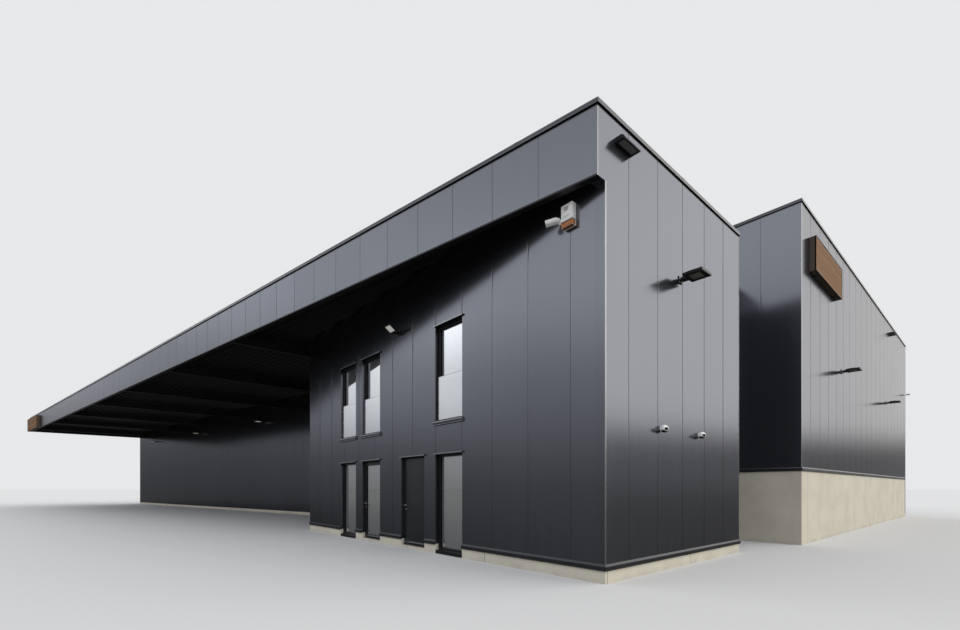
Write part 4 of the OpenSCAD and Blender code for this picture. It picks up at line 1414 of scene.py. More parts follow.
@dataclass(frozen=True)
class JointLiners:
    """Coated tongues at the back of the open joints between the panels."""

    width: float = 0.0084
    ys: Span = (0.0016, 0.0074)
    edge: float = 0.02
    deck_gap: float = 0.003
    behind_block: float = 0.60
    block_left_l: float = 2.640

    def strip(self, form: Form, place: Matrix, low: float, high: float) -> None:
        """Adds one tongue, at the joint's middle on the wall's face."""
        form.slab(self.width / 2, self.ys, (low, high), place)

    def row(self, form: Form, run: WallRun, first: float, heights: Span, from_end: bool = False) -> None:
        """Adds the tongues of one wall.

        Args:
            form: what it is added to.
            run: the wall.
            first: distance to the first joint.
            heights: the tongues' feet and tops.
            from_end: whether that distance is measured from the wall's end and not from its start.
        """
        distance = first
        while distance < run.length - self.edge:
            at = run.length - distance if from_end else distance
            self.strip(form, run.at(at, 0, 0), *heights)
            distance += WALLS.panel

    def front(self, form: Form, top: float) -> None:
        """Adds the tongues of the block's front wall, which stop at its openings.

        Args:
            form: what it is added to.
            top: the top of the tongues.
        """
        distance = WALLS.front_first
        while distance < -WALLS.block_left - self.edge:
            place = on_wall(-distance, 0)
            cuts = [
                opening for opening in (*Openings.ground, *Openings.doorways, *Openings.upper)
                if opening.right - self.edge < distance < opening.left + self.edge
            ]
            low = WALLS.plinth_top
            for cut in sorted(cuts, key=lambda opening: opening.low):
                foot = cut.low - Openings.sill_lip if cut in Openings.upper else cut.low
                if foot > low:
                    self.strip(form, place, low, foot)
                low = cut.high + Openings.trim_h
            self.strip(form, place, low, top)
            distance += WALLS.panel

    def build(self) -> None:
        """Builds the tongues of every panelled wall."""
        walls, panel = outer_walls(), WALLS.panel
        clad, hall_clad = WALLS.block_clad, WALLS.hall_clad
        plinth, base = WALLS.plinth_top, WALLS.base_top
        under_deck = WALLS.deck_low - self.deck_gap
        left_start = (WALLS.block_left, WALLS.recess_y(WALLS.block_left))
        left = WallRun(left_start, Facing.LEFT, self.block_left_l)
        left_first = panel - (WALLS.hall_front - left_start[1]) % panel
        step_start = (-self.behind_block, WALLS.hall_front)
        step = WallRun(step_start, Facing.FRONT, WALLS.step + self.behind_block)
        block, hall, canopy = Form(), Form(), Form()
        self.front(block, under_deck)
        self.row(block, walls["block_right"], WALLS.side_first, (plinth, clad))
        self.row(block, left, left_first, (plinth, under_deck))
        self.row(hall, step, panel, (base, hall_clad), from_end=True)
        self.row(hall, walls["hall_right"], WALLS.hall_first, (base, hall_clad))
        for name in ("hall_back", "hall_left", "recess"):
            self.row(hall, walls[name], panel, (WALLS.low_plinth, hall_clad))
        self.row(canopy, walls["fascia"], WALLS.fascia_first, (WALLS.fascia_low, clad), from_end=True)
        self.row(canopy, walls["fascia_end"], panel, (WALLS.fascia_low, clad))
        block.piece("block_joint_tongues", Finishes.joint, Slot.PANELS)
        hall.piece("hall_joint_tongues", Finishes.joint, Slot.PANELS)
        canopy.piece("fascia_joint_tongues", Finishes.joint, Slot.PANELS)


@dataclass(frozen=True)
class DoorLeaf:
    """The small parts of one door leaf, which swing with it."""

    body: str
    opening: Opening
    glazed: bool
    inset: float = 0.027
    face: float = 0.042
    low: float = 0.047
    high: float = 1.158
    stile: float = 0.044
    pane_y: float = 0.050
    bead: Span = (0.008, 0.010)
    seal: Span = (0.004, 0.0045)
    press_side: float = 0.020
    press_low: float = 0.045
    press_high: float = 0.030
    press_ys: Span = (-0.0014, 0.001)
    handle_z: float = 0.555
    lock_drop: float = 0.052
    bar_in: float = 0.012
    bar: Section = ((0, 0.090), (-0.003, 0.090), (-0.013, 0.074), (-0.013, 0.064), (0, 0.064))
    hinge_shares: tuple[float, ...] = (0.14, 0.5, 0.86)
    screw_in: float = 0.0065
    screw_y: float = 0.0385
    screw_rises: Span = (0.009, 0.022)

    @property
    def edges(self) -> Span:
        """X of the leaf's left and right edges."""
        return -self.opening.left + self.inset, -self.opening.right - self.inset

    def pressed_face(self) -> None:
        """Builds the pressed face of the solid leaf."""
        left, right = self.edges
        front, rear = (self.face + y for y in self.press_ys)
        form = Form()
        form.box(
            (left + self.press_side, front, self.low + self.press_low),
            (right - self.press_side, rear, self.high - self.press_high), bevel=0.0010,
        )
        form.piece(f"{self.body}_pressed_face", Finishes.door, Slot.DOOR, self.body)

    def glazing(self) -> None:
        """Builds the bead and seal round the leaf's pane."""
        left, right = self.edges
        beads, seals = Form(), Form()
        low, high = shrink((left, self.low), (right, self.high), self.stile)
        beads.ring(low, high, self.pane_y, *self.bead, bevel=0.0012)
        low, high = shrink(low, high, self.bead[0])
        seals.ring(low, high, self.pane_y, *self.seal)
        beads.piece(f"{self.body}_bead", Finishes.bead, Slot.TRIM, self.body)
        seals.piece(f"{self.body}_seal", Finishes.seal, Slot.TRIM, self.body)

    def lock(self) -> None:
        """Builds the lock's rose, its cylinder with a key slot, and the collar round the handle."""
        middle = self.edges[0] + self.stile / 2
        rose = [(0, 0.0042), (0.0070, 0.0042), (0.0100, 0.0034), (0.0112, 0.0015), (0.0112, -0.001)]
        cylinder = [(0, 0.0062), (0.0030, 0.0062), (0.0036, 0.0055), (0.0036, 0.003)]
        collar = [(0.0052, 0.0072), (0.0085, 0.0070), (0.0098, 0.0058), (0.0104, 0.0030), (0.0104, -0.001)]
        form = Form()
        place = on_wall(middle, self.face, self.handle_z - self.lock_drop) @ OUT_OF_WALL
        form.lathe(rose, place)
        form.lathe(cylinder, place, 16)
        form.slab(0.0008, (-0.0058, -0.0012), (0.0055, 0.0064), place)
        form.lathe(collar, on_wall(middle, self.face, self.handle_z) @ OUT_OF_WALL)
        form.piece(f"{self.body}_lock", Finishes.steel, Slot.STEEL, self.body)

    def build(self) -> None:
        """Builds the leaf's parts, with the drip bar at its foot and the screws of its hinges."""
        if self.glazed:
            self.glazing()
        else:
            self.pressed_face()
        self.lock()
        left, right = self.edges
        drip, screws = Form(), Form()
        section = [(self.face + y, z) for y, z in self.bar]
        drip.bar(section, left + self.bar_in, right - left - 2 * self.bar_in, bevel=0.0008)
        drip.piece(f"{self.body}_weather_bar", Finishes.trim, Slot.TRIM, self.body)
        head = [(0, 0.0009), (0.0014, 0.0008), (0.0021, 0.0)]
        for share in self.hinge_shares:
            z = self.low + share * (self.high - self.low)
            for rise in self.screw_rises:
                spot = on_wall(right - self.screw_in, self.screw_y, z + rise)
                screws.lathe(head, spot @ OUT_OF_WALL, 10)
        screws.piece(f"{self.body}_hinge_screws", Finishes.steel, Slot.STEEL, self.body)


@dataclass(frozen=True)
class FloodLight:
    """Glass, lamp board, fins, knuckle, cable and bolts of one floodlight."""

    place: Matrix
    width: float = 0.215
    depth: float = 0.185
    tilt: float = 0.0
    thick: float = 0.024
    rim: float = 0.010
    arm: float = 0.075
    bright: bool = False
    glass_zs: Span = (0.0022, 0.0055)
    board_zs: Span = (0.0012, 0.0030)
    board_w: float = 0.62
    board_near: float = 0.22
    board_far: float = 0.16
    columns: int = 5
    rows: int = 4
    lamp_zs: Span = (0.0014, -0.0004)
    lamp_r: float = 0.006
    lamp_tip: float = 0.6
    fins: int = 11
    fin_in: float = 0.018
    fin_w: float = 0.0024
    fin_h: float = 0.010
    fin_ends: Span = (0.62, 0.72)
    collar_ys: Span = (-0.014, 0.004)
    knuckle: float = 0.034
    knuckle_r: float = 0.0165
    bolt_end: float = 0.041
    bolt_r: float = 0.0085
    plate_bolt: float = 0.026

    @property
    def head(self) -> Matrix:
        """The frame of the head, at the end of its arm."""
        lean = Matrix.Rotation(self.tilt, 4, "X")
        return self.place @ Matrix.Translation((0, -self.arm, 0)) @ lean

    def lens(self, glass: Form, lamps: Form) -> None:
        """Adds the glass in the head's tray and the lamp board behind it.

        Args:
            glass: the glass piece in the making.
            lamps: the lamps' piece in the making.
        """
        half, low, under = self.width / 2 - self.rim, -self.depth + self.rim, -self.thick / 2
        glass.slab(half, (low, -self.rim), tuple(under + z for z in self.glass_zs), self.head, 0.0012)
        board, tray = half * self.board_w, self.depth - 2 * self.rim
        near, far = low + self.board_near * tray, -self.rim - self.board_far * tray
        lamps.slab(board, (near, far), tuple(under + z for z in self.board_zs), self.head, 0.0006)
        start, end = (under + z for z in self.lamp_zs)
        for column in range(self.columns):
            for row in range(self.rows):
                x = board * (2 * (column + 0.5) / self.columns - 1)
                y = near + (far - near) * (row + 0.5) / self.rows
                lamps.rod((x, y, start), (x, y, end), self.lamp_r, self.head, 8, self.lamp_r * self.lamp_tip)

    def casting(self, form: Form) -> None:
        """Adds the fins, the knuckle, the arm, the gland and the cable to the cast housing.

        Args:
            form: what it is added to.
        """
        top, inner = self.thick / 2, self.width / 2 - self.fin_in
        crest = top + self.fin_h
        high, low = (-self.depth * share for share in self.fin_ends)
        fin = [(-0.012, top), (-0.022, crest), (high, crest), (low, top)]
        for number in range(self.fins):
            x = -inner + 2 * inner * number / (self.fins - 1)
            form.bar(fin, x - self.fin_w / 2, self.fin_w, self.head)
        form.slab(self.width / 2, self.collar_ys, (-top - 0.001, top + 0.001), self.head, 0.003, 2)
        joint = self.place @ Matrix.Translation((0, -self.arm + 0.010, 0))
        form.rod((-self.knuckle, 0, 0), (self.knuckle, 0, 0), self.knuckle_r, joint, 20)
        form.slab(0.028, (-self.arm - 0.004, -0.022), (-0.019, 0.017), self.place, 0.004, 2)
        form.rod((0.0, -0.007, -0.026), (0.0, -0.016, -0.026), 0.007, self.place, 12, bevel=0.001)
        form.rod((0.0, -0.015, -0.026), (0.0, -self.arm + 0.006, -0.010), 0.0032, self.place, 10)

    def bolts(self, form: Form) -> None:
        """Adds the bolts of the knuckle and of the wall plate.

        Args:
            form: the steel piece in the making.
        """
        head = [(0, 0.0042), (0.0030, 0.0036), (0.0048, 0.0)]
        joint = self.place @ Matrix.Translation((0, -self.arm, 0))
        for side in (-1, 1):
            start, end = (self.knuckle * side, 0.010, 0), (self.bolt_end * side, 0.010, 0)
            form.rod(start, end, self.bolt_r, joint, 6, bevel=0.0008)
            for z in (-self.plate_bolt, self.plate_bolt):
                spot = self.place @ Matrix.Translation((self.plate_bolt * side, -0.008, z))
                form.lathe(head, spot @ OUT_OF_WALL, 12)


@dataclass(frozen=True)
class WallLight:
    """End caps, front bead and ribbed lens of one flat wall light."""

    place: Matrix
    width: float = 0.250
    depth: float = 0.088
    high: float = 0.038
    lip: float = 0.014
    slope: float = 0.7
    sheet: float = 0.0015
    cap: float = 0.004
    lens_in: float = 0.022
    lens_front: float = 0.014
    lens_rear: float = 0.018
    ribs: int = 7
    rib_half: float = 0.006
    rib_in: float = 0.004

    def parts(self, metal: Form, lens: Form) -> None:
        """Adds the light's parts.

        Args:
            metal: what the end caps and the front bead are added to.
            lens: what the ribbed lens in the underside is added to.
        """
        half, deep, t = self.width / 2, self.depth, self.sheet
        section = [
            (0, -t), (-deep - t, -t), (-deep - t, self.lip + t / 2), (-deep * self.slope, self.high + t),
            (0, self.high + t),
        ]
        for x in (-half, half):
            metal.bar(section, x - self.cap / 2, self.cap, self.place, 0.0008)
        metal.slab(half, (-deep - 0.0012, -deep + 0.001), (0.004, 0.010), self.place, 0.0006)
        inner, front, rear = half - self.lens_in, -deep + self.lens_front, -self.lens_rear
        lens.slab(inner, (front, rear), (-0.0022, 0.001), self.place, 0.001)
        for number in range(self.ribs):
            x = inner * (number - self.ribs // 2) / (self.ribs / 2)
            low = (x - self.rib_half, front + self.rib_in, -0.0044)
            lens.box(low, (x + self.rib_half, rear - self.rib_in, -0.001), self.place, 0.001)


@dataclass(frozen=True)
class Lights:
    """Every light of the building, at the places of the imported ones."""

    flood_z: float = 2.845
    flood_back: float = 1.295
    spot_x: float = 3.190
    spot_w: float = 0.140
    spot_deep: float = 0.120
    spot_tilt: float = math.radians(-35)
    wall_light_back: float = 0.265
    wall_light_z: float = 3.641
    hall_flood_z: float = 2.755
    hall_floods: tuple[float, ...] = (6.550, 10.900)
    hall_light_y: float = 11.600
    hall_light_z: float = 4.488
    canopy_z: float = 2.935
    canopy_first: float = 2.430
    canopy_pitch: float = 5.0
    canopy_count: int = 4

    def floods(self) -> list[FloodLight]:
        """Places the floodlights.

        Returns:
            The spot over the doors, the floodlights of the side walls and those under the canopy.
        """
        spot = on_wall(-self.spot_x, 0, self.flood_z)
        sides = [on_wall(0, self.flood_back, self.flood_z, Facing.RIGHT)]
        sides += [on_wall(WALLS.step, y, self.hall_flood_z, Facing.RIGHT) for y in self.hall_floods]
        made = [FloodLight(spot, self.spot_w, self.spot_deep, self.spot_tilt, bright=True)]
        made += [FloodLight(place) for place in sides]
        for number in range(self.canopy_count):
            x = WALLS.block_left - self.canopy_first - number * self.canopy_pitch
            place = on_wall(x, WALLS.recess_y(x), self.canopy_z, Facing.SKEWED)
            made.append(FloodLight(place, bright=True))
        return made

    def build(self) -> None:
        """Builds the parts of every light."""
        glass, lamps, castings, bolts = Form(), Form(), Form(), Form()
        spot_glass, spot_lamps, diffusers = Form(), Form(), Form()
        for flood in self.floods():
            if flood.bright:
                flood.lens(spot_glass, spot_lamps)
            else:
                flood.lens(glass, lamps)
            flood.casting(castings)
            flood.bolts(bolts)
        for place in (
            on_wall(0, self.wall_light_back, self.wall_light_z, Facing.RIGHT),
            on_wall(WALLS.step, self.hall_light_y, self.hall_light_z, Facing.RIGHT),
        ):
            WallLight(place).parts(castings, diffusers)
        glass.piece("lamp_glass", Finishes.lamp_glass, Slot.LAMP)
        lamps.piece("lamp_boards", Finishes.lens, Slot.LAMP)
        spot_glass.piece("spot_glass", Finishes.spot_glass, Slot.LAMP)
        spot_lamps.piece("spot_boards", Finishes.spot_glass, Slot.LAMP)
        diffusers.piece("lamp_diffusers", Finishes.diffuser, Slot.LAMP)
        castings.piece("lamp_castings", Finishes.lamp, Slot.LAMP)
        bolts.piece("lamp_bolts", Finishes.steel, Slot.STEEL)


@dataclass(frozen=True)
class Camera:
    """Base, housing, hood, lens and screws of one camera, added to pieces in the making by their colour."""

    place: Matrix
    white: Form
    black: Form
    steel: Form
    arm: float = 0.045
    pan: float = math.radians(35)
    nod: float = math.radians(-100)
    body_r: float = 0.017
    body_l: float = 0.110
    hood: Section = (
        (-0.024, 0.020), (-0.024, -0.006), (-0.019, -0.014), (0.012, -0.024), (0.024, -0.016), (0.026, 0.004),
    )
    hood_inner: float = 0.90
    ball_y: float = -0.034
    ball_r: float = 0.0350
    base_screw_r: float = 0.0185

    @property
    def axis(self) -> Matrix:
        """The frame whose Z runs along the camera's body, from its joint with the arm."""
        turn = Matrix.Rotation(self.pan, 4, "Z") @ Matrix.Rotation(self.nod, 4, "Y")
        return self.place @ Matrix.Translation((0, -self.arm, 0)) @ turn

    def base(self) -> None:
        """Adds the wall base with its stem and screws."""
        disc = [(0, 0.014), (0.010, 0.014), (0.015, 0.011), (0.0225, 0.009), (0.0235, 0.006), (0.0235, 0)]
        stem = [(0.0062, 0.046), (0.0085, 0.040), (0.0085, 0.014), (0.0120, 0.010)]
        head = [(0, 0.0012), (0.0014, 0.0010), (0.0022, 0.0)]
        axis = self.place @ OUT_OF_WALL
        self.white.lathe(disc, axis)
        self.white.lathe(stem, axis, 20)
        for corner in range(3):
            angle = math.tau * corner / 3 + 0.5
            x, y = self.base_screw_r * math.cos(angle), self.base_screw_r * math.sin(angle)
            self.steel.lathe(head, axis @ Matrix.Translation((x, y, 0.0095)), 10)

    def bullet(self) -> None:
        """Adds the tube, hood, bezel and lens of a long camera."""
        axis, end, r = self.axis, self.body_l - self.body_r, self.body_r
        tube = [(r + 0.0025, -0.010), (r + 0.0040, 0.0), (r + 0.0040, end - 0.004), (r + 0.0015, end + 0.001)]
        rear = [(0, -0.0215), (0.012, -0.020), (r + 0.0025, -0.010)]
        bezel = [(0, end - 0.001), (0.006, end + 0.0005), (0.0145, end + 0.0005), (r + 0.001, end - 0.004)]
        self.white.lathe(tube, axis)
        self.white.lathe(rear, axis)
        outer = [(x, y, 0.004) for y, x in self.hood]
        inner = [(x * self.hood_inner, y * self.hood_inner, 0.004) for y, x in reversed(self.hood)]
        self.white.prism([*outer, *inner], (0, 0, end + 0.010), axis)
        self.black.lathe(bezel, axis)
        self.black.ball((0, 0, end - 0.001), 0.0075, axis, 0.6)

    def turret(self) -> None:
        """Adds the ball housing, lens barrel, eye and dark underside of a short camera."""
        barrel = [(0.0180, 0.036), (0.0185, 0.0445), (0.0165, 0.0460), (0.0145, 0.0440)]
        face = [(0, 0.0425), (0.010, 0.0435), (0.0150, 0.0440), (0.0165, 0.0432)]
        bowl = [(0, -0.0215), (0.014, -0.0185), (0.025, -0.0110), (0.0325, -0.0010), (0.0320, 0.001)]
        self.white.ball((0, self.ball_y, 0), self.ball_r, self.place)
        self.white.lathe(barrel, self.axis)
        self.black.lathe(face, self.axis)
        self.black.ball((0, 0, 0.0425), 0.0062, self.axis, 0.6)
        self.black.lathe(bowl, self.place @ Matrix.Translation((0, self.ball_y, -0.0160)))


@dataclass(frozen=True)
class Cameras:
    """The four cameras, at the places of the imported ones."""

    front_x: float = 0.454
    front_z: float = 3.125
    side_z: float = 1.335
    side_y: tuple[float, ...] = (0.915, 1.720)
    hall_y: float = 13.905
    hall_z: float = 3.350

    def build(self) -> None:
        """Builds the parts of every camera."""
        white, black, steel = Form(), Form(), Form()
        long_places = (
            on_wall(-self.front_x, 0, self.front_z),
            on_wall(WALLS.step, self.hall_y, self.hall_z, Facing.RIGHT),
        )
        for place in long_places:
            camera = Camera(place, white, black, steel)
            camera.base()
            camera.bullet()
        for y in self.side_y:
            camera = Camera(on_wall(0, y, self.side_z, Facing.RIGHT), white, black, steel)
            camera.base()
            camera.turret()
        white.piece("camera_housings", Finishes.white, Slot.CAMERA)
        black.piece("camera_lenses", Finishes.eye, Slot.CAMERA)
        steel.piece("camera_screws", Finishes.steel, Slot.STEEL)


@dataclass(frozen=True)
class Siren:
    """Raised cover, lens, dark band, sounder slots and screws of the alarm siren."""

    x: float = 0.350
    z: float = 3.125
    width: float = 0.118
    high: float = 0.190
    depth: float = 0.050
    band_zs: Span = (-0.054, -0.044)
    slats: int = 5
    slat_pitch: float = 0.007
    raised: float = 0.010
    screw_in: float = 0.007
    screw_z: float = 0.072

    def build(self) -> None:
        """Builds the siren's parts."""
        place = on_wall(-self.x, 0, self.z)
        half, top, front, out = self.width / 2, self.high / 2, -self.depth, -self.depth - self.raised
        cover, lens, band, screws = Form(), Form(), Form(), Form()
        cover.slab(half + 0.003, (front - 0.004, -0.004), (-0.046, top + 0.002), place, 0.007, 3)
        middle = [(front - 0.002, -0.020), (out, -0.006), (out, top - 0.030), (front - 0.002, top - 0.014)]
        left = -half + 0.010
        cover.prism([(left, y, z) for y, z in middle], (self.width - 0.020, 0, 0), place, 0.0015, 2)
        lens.slab(half + 0.002, (front - 0.003, -0.003), (-top - 0.001, -0.052), place, 0.008, 3)
        band.slab(half + 0.0012, (front - 0.002, -0.004), self.band_zs, place, 0.002)
        for number in range(self.slats):
            rib = -top + 0.008 + number * self.slat_pitch
            lens.slab(half - 0.004, (front - 0.0042, front), (rib, rib + 0.003), place, 0.0008)
            slot = top - 0.060 + number * self.slat_pitch
            band.slab(0.022, (out - 0.0008, front - 0.008), (slot, slot + 0.0032), place)
        head = [(0, 0.0014), (0.0022, 0.0012), (0.0034, 0.0)]
        for side in (-1, 1):
            spot = place @ Matrix.Translation((side * (half - self.screw_in), front - 0.004, self.screw_z))
            screws.lathe(head, spot @ OUT_OF_WALL, 12)
        cover.piece("siren_cover", Finishes.white, Slot.CAMERA)
        lens.piece("siren_lens", Finishes.amber, Slot.CAMERA)
        band.piece("siren_band", Finishes.band, Slot.CAMERA)
        screws.piece("siren_screws", Finishes.steel, Slot.STEEL)


@dataclass(frozen=True)
class SignBox:
    """Boards, rim and brackets of one bare sign box."""

    name: str
    place: Matrix
    length: float
    high: float
    depth: float
    boards_finish: Finish
    rim: float = 0.012
    rim_out: float = 0.0155
    past: float = 0.002
    tray: float = 0.004
    gap: float = 0.0016
    count: int = 7
    bracket_share: float = 0.72
    bracket_w: float = 0.030
    bracket_h: float = 0.028
    bracket_deep: float = 0.7

    def build(self) -> None:
        """Builds the boards, the rim and the brackets."""
        half, top, face = self.length / 2, self.high / 2, -self.depth
        inner, rise = half - self.rim - 0.001, (self.high - 2 * self.rim) / self.count
        boards, frame, brackets = Form(), Form(), Form()
        for number in range(self.count):
            low = -top + self.rim + number * rise + self.gap / 2
            ys = (face + 0.0006, face + self.tray + 0.001)
            boards.slab(inner, ys, (low, low + rise - self.gap), self.place, 0.0012)
        boards.piece(f"{self.name}_boards", self.boards_finish, Slot.SIGN)
        low, high = shrink((-half, -top), (half, top), -self.past)
        frame.ring(low, high, face + 0.012, self.rim + 0.003, self.rim_out, self.place, 0.0018)
        frame.piece(f"{self.name}_rim", Finishes.sign_rim, Slot.SIGN)
        for x in (-half * self.bracket_share, half * self.bracket_share):
            for side in (-1, 1):
                z = top * side
                section = [(0, z), (-self.depth * self.bracket_deep, z), (0, z + self.bracket_h * side)]
                brackets.bar(section, x, self.bracket_w, self.place, 0.0008)
        brackets.piece(f"{self.name}_brackets", Finishes.frame, Slot.TRIM)


@dataclass(frozen=True)
class Signs:
    """The two bare sign boxes, on the hall's wall and on the fascia."""

    hall_y: float = 5.400
    hall_z: float = 4.1035
    hall_size: Point = (1.560, 0.485, 0.076)
    fascia_middle: float = 25.390
    fascia_z: float = 3.513
    fascia_size: Point = (2.220, 0.510, 0.095)
    seat: float = 0.0003

    def build(self) -> None:
        """Builds the parts of both boxes."""
        x = -self.fascia_middle * math.cos(WALLS.skew)
        hall = on_wall(WALLS.step, self.hall_y, self.hall_z, Facing.RIGHT)
        fascia = on_wall(x, WALLS.fascia_y(x, -self.seat), self.fascia_z, Facing.SKEWED)
        SignBox("hall_sign", hall, *self.hall_size, Finishes.boards).build()
        SignBox("fascia_sign", fascia, *self.fascia_size, Finishes.boards_fascia).build()


@dataclass(frozen=True)
class CanopyFrame:
    """End plates, bolts and stiffeners of the canopy's beams."""

    pitch: float = 3.1
    first: float = 0.42
    count: int = 7
    width: float = 0.110
    high: float = 0.180
    plate: float = 0.010
    margin: float = 0.002
    sunk: float = 0.0005
    bolt_x: float = 0.014
    bolt_z: float = 0.040
    bolt_r: float = 0.0085
    bolt_l: float = 0.008
    web_shares: Span = (0.33, 0.67)
    web_xs: Span = (0.0030, 0.043)
    web_half: float = 0.003
    web_in: float = 0.008

    def end_plate(self, plates: Form, bolts: Form, place: Matrix, out: int) -> None:
        """Adds a plate against a wall, and its bolts.

        Args:
            plates: the plates' piece in the making.
            bolts: the bolts' piece in the making.
            place: the beam's lower middle, on the wall's face.
            out: 1 where local -Y leads away from the wall, and -1 where +Y does.
        """
        half, y = self.width / 2, -self.plate * out
        plates.slab(half, tuple(sorted((0.0, y))), (self.margin, self.high - self.margin), place, 0.001)
        for x in (-half + self.bolt_x, half - self.bolt_x):
            for z in (self.bolt_z, self.high - self.bolt_z):
                bolts.rod((x, y, z), (x, y - self.bolt_l * out, z), self.bolt_r, place, 6)

    def build(self) -> None:
        """Builds the parts of every beam."""
        plates, bolts = Form(), Form()
        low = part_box("canopy_beams")[0].z
        foot, top = low + self.web_in, low + self.high - self.web_in
        for number in range(self.count):
            x = WALLS.block_left - self.first - number * self.pitch
            rear, front = WALLS.recess_y(x), WALLS.fascia_y(x, WALLS.fascia_t)
            self.end_plate(plates, bolts, on_wall(x, rear - self.sunk, low, Facing.SKEWED), 1)
            self.end_plate(plates, bolts, on_wall(x, front + self.sunk, low, Facing.SKEWED), -1)
            for share in self.web_shares:
                y = front + share * (rear - front)
                for side in (-1, 1):
                    near, far = sorted(across * side for across in self.web_xs)
                    plates.box((x + near, y - self.web_half, foot), (x + far, y + self.web_half, top))
        plates.piece("beam_plates", Finishes.beam, Slot.BEAM)
        bolts.piece("beam_bolts", Finishes.bolt, Slot.BEAM)


@dataclass(frozen=True)
class Roofs:
    """Membrane upstands and outlets of the roofs."""

    upstand: float = 0.050
    sunk: float = 0.001
    outlet_r: float = 0.060
    bars: int = 8
    bar_w: float = 0.004
    hall_first: float = 3.5
    hall_pitch: float = 6.3
    hall_count: int = 4
    hall_in: float = 0.9
    canopy_xs: tuple[float, ...] = (-24.0, -16.0, -9.0, -2.2)
    canopy_in: float = 0.45

    def fillet(self, form: Form, start: Plan2, end: Plan2, z: float) -> None:
        """Adds a sloping upstand with the wall on its right.

        Args:
            form: what it is added to.
            start: where it starts in plan, on the wall's inner face.
            end: where it ends.
            z: the roof's top.
        """
        run = Vector((end[0] - start[0], end[1] - start[1], 0))
        inward = Vector((-run.y, run.x, 0)).normalized()
        outline = [Vector((0, 0, 0)), inward * self.upstand, UP * self.upstand]
        form.prism(outline, run, Matrix.Translation((*start, z - self.sunk)))

    def outlet(self, form: Form, middle: Point) -> None:
        """Adds a domed roof outlet with the bars of its basket.

        Args:
            form: what it is added to.
            middle: its middle on the roof.
        """
        r, place = self.outlet_r, Matrix.Translation(middle)
        dome = [(0, 0.036), (r * 0.45, 0.034), (r * 0.78, 0.022), (r * 0.85, 0.006)]
        flange = [(r * 1.5, 0.004), (r * 1.6, -0.001)]
        form.lathe([*dome, *flange], place)
        side = -self.bar_w / 2
        bar = [(0.2 * r, side, 0.030), (0.9 * r, side, 0.006), (0.9 * r, side, 0.014), (0.2 * r, side, 0.040)]
        for number in range(self.bars):
            turn = Matrix.Rotation(math.tau * number / self.bars, 4, "Z")
            form.prism(bar, (0, self.bar_w, 0), place @ turn)

    def build(self) -> None:
        """Builds the upstands and outlets."""
        form, outlets = Form(), Form()
        end, step, rear, start = WALLS.left, WALLS.step, WALLS.back, WALLS.hall_front
        t, thin, block_left = WALLS.wall_t, WALLS.fascia_t, WALLS.block_left
        roof, hall_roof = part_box("canopy_roof")[1].z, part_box("hall_roof")[1].z
        leg = block_left - t
        hall = [
            (end + t, WALLS.recess_y(end + t, t)), (leg, WALLS.recess_y(leg, t)), (leg, start + t),
            (step - t, start + t), (step - t, rear - t), (end + t, rear - t),
        ]
        canopy = [
            (end + thin, WALLS.recess_y(end + thin)), (end + thin, WALLS.fascia_y(end + thin, thin)),
            (-t, WALLS.fascia_y(-t, thin)), (-t, WALLS.side_end - t),
        ]
        for first, second in zip(hall, hall[1:] + hall[:1]):
            self.fillet(form, first, second, hall_roof)
        for first, second in zip(canopy, canopy[1:]):
            self.fillet(form, first, second, roof)
        self.fillet(form, (block_left, WALLS.recess_y(block_left)), canopy[0], roof)
        for number in range(self.hall_count):
            x = end + self.hall_first + number * self.hall_pitch
            self.outlet(outlets, (x, rear - self.hall_in, hall_roof))
        for x in self.canopy_xs:
            self.outlet(outlets, (x, WALLS.fascia_y(x, self.canopy_in), roof))
        form.piece("roof_upstands", Finishes.roof, Slot.ROOF)
        outlets.piece("roof_outlets", Finishes.outlet, Slot.ROOF)


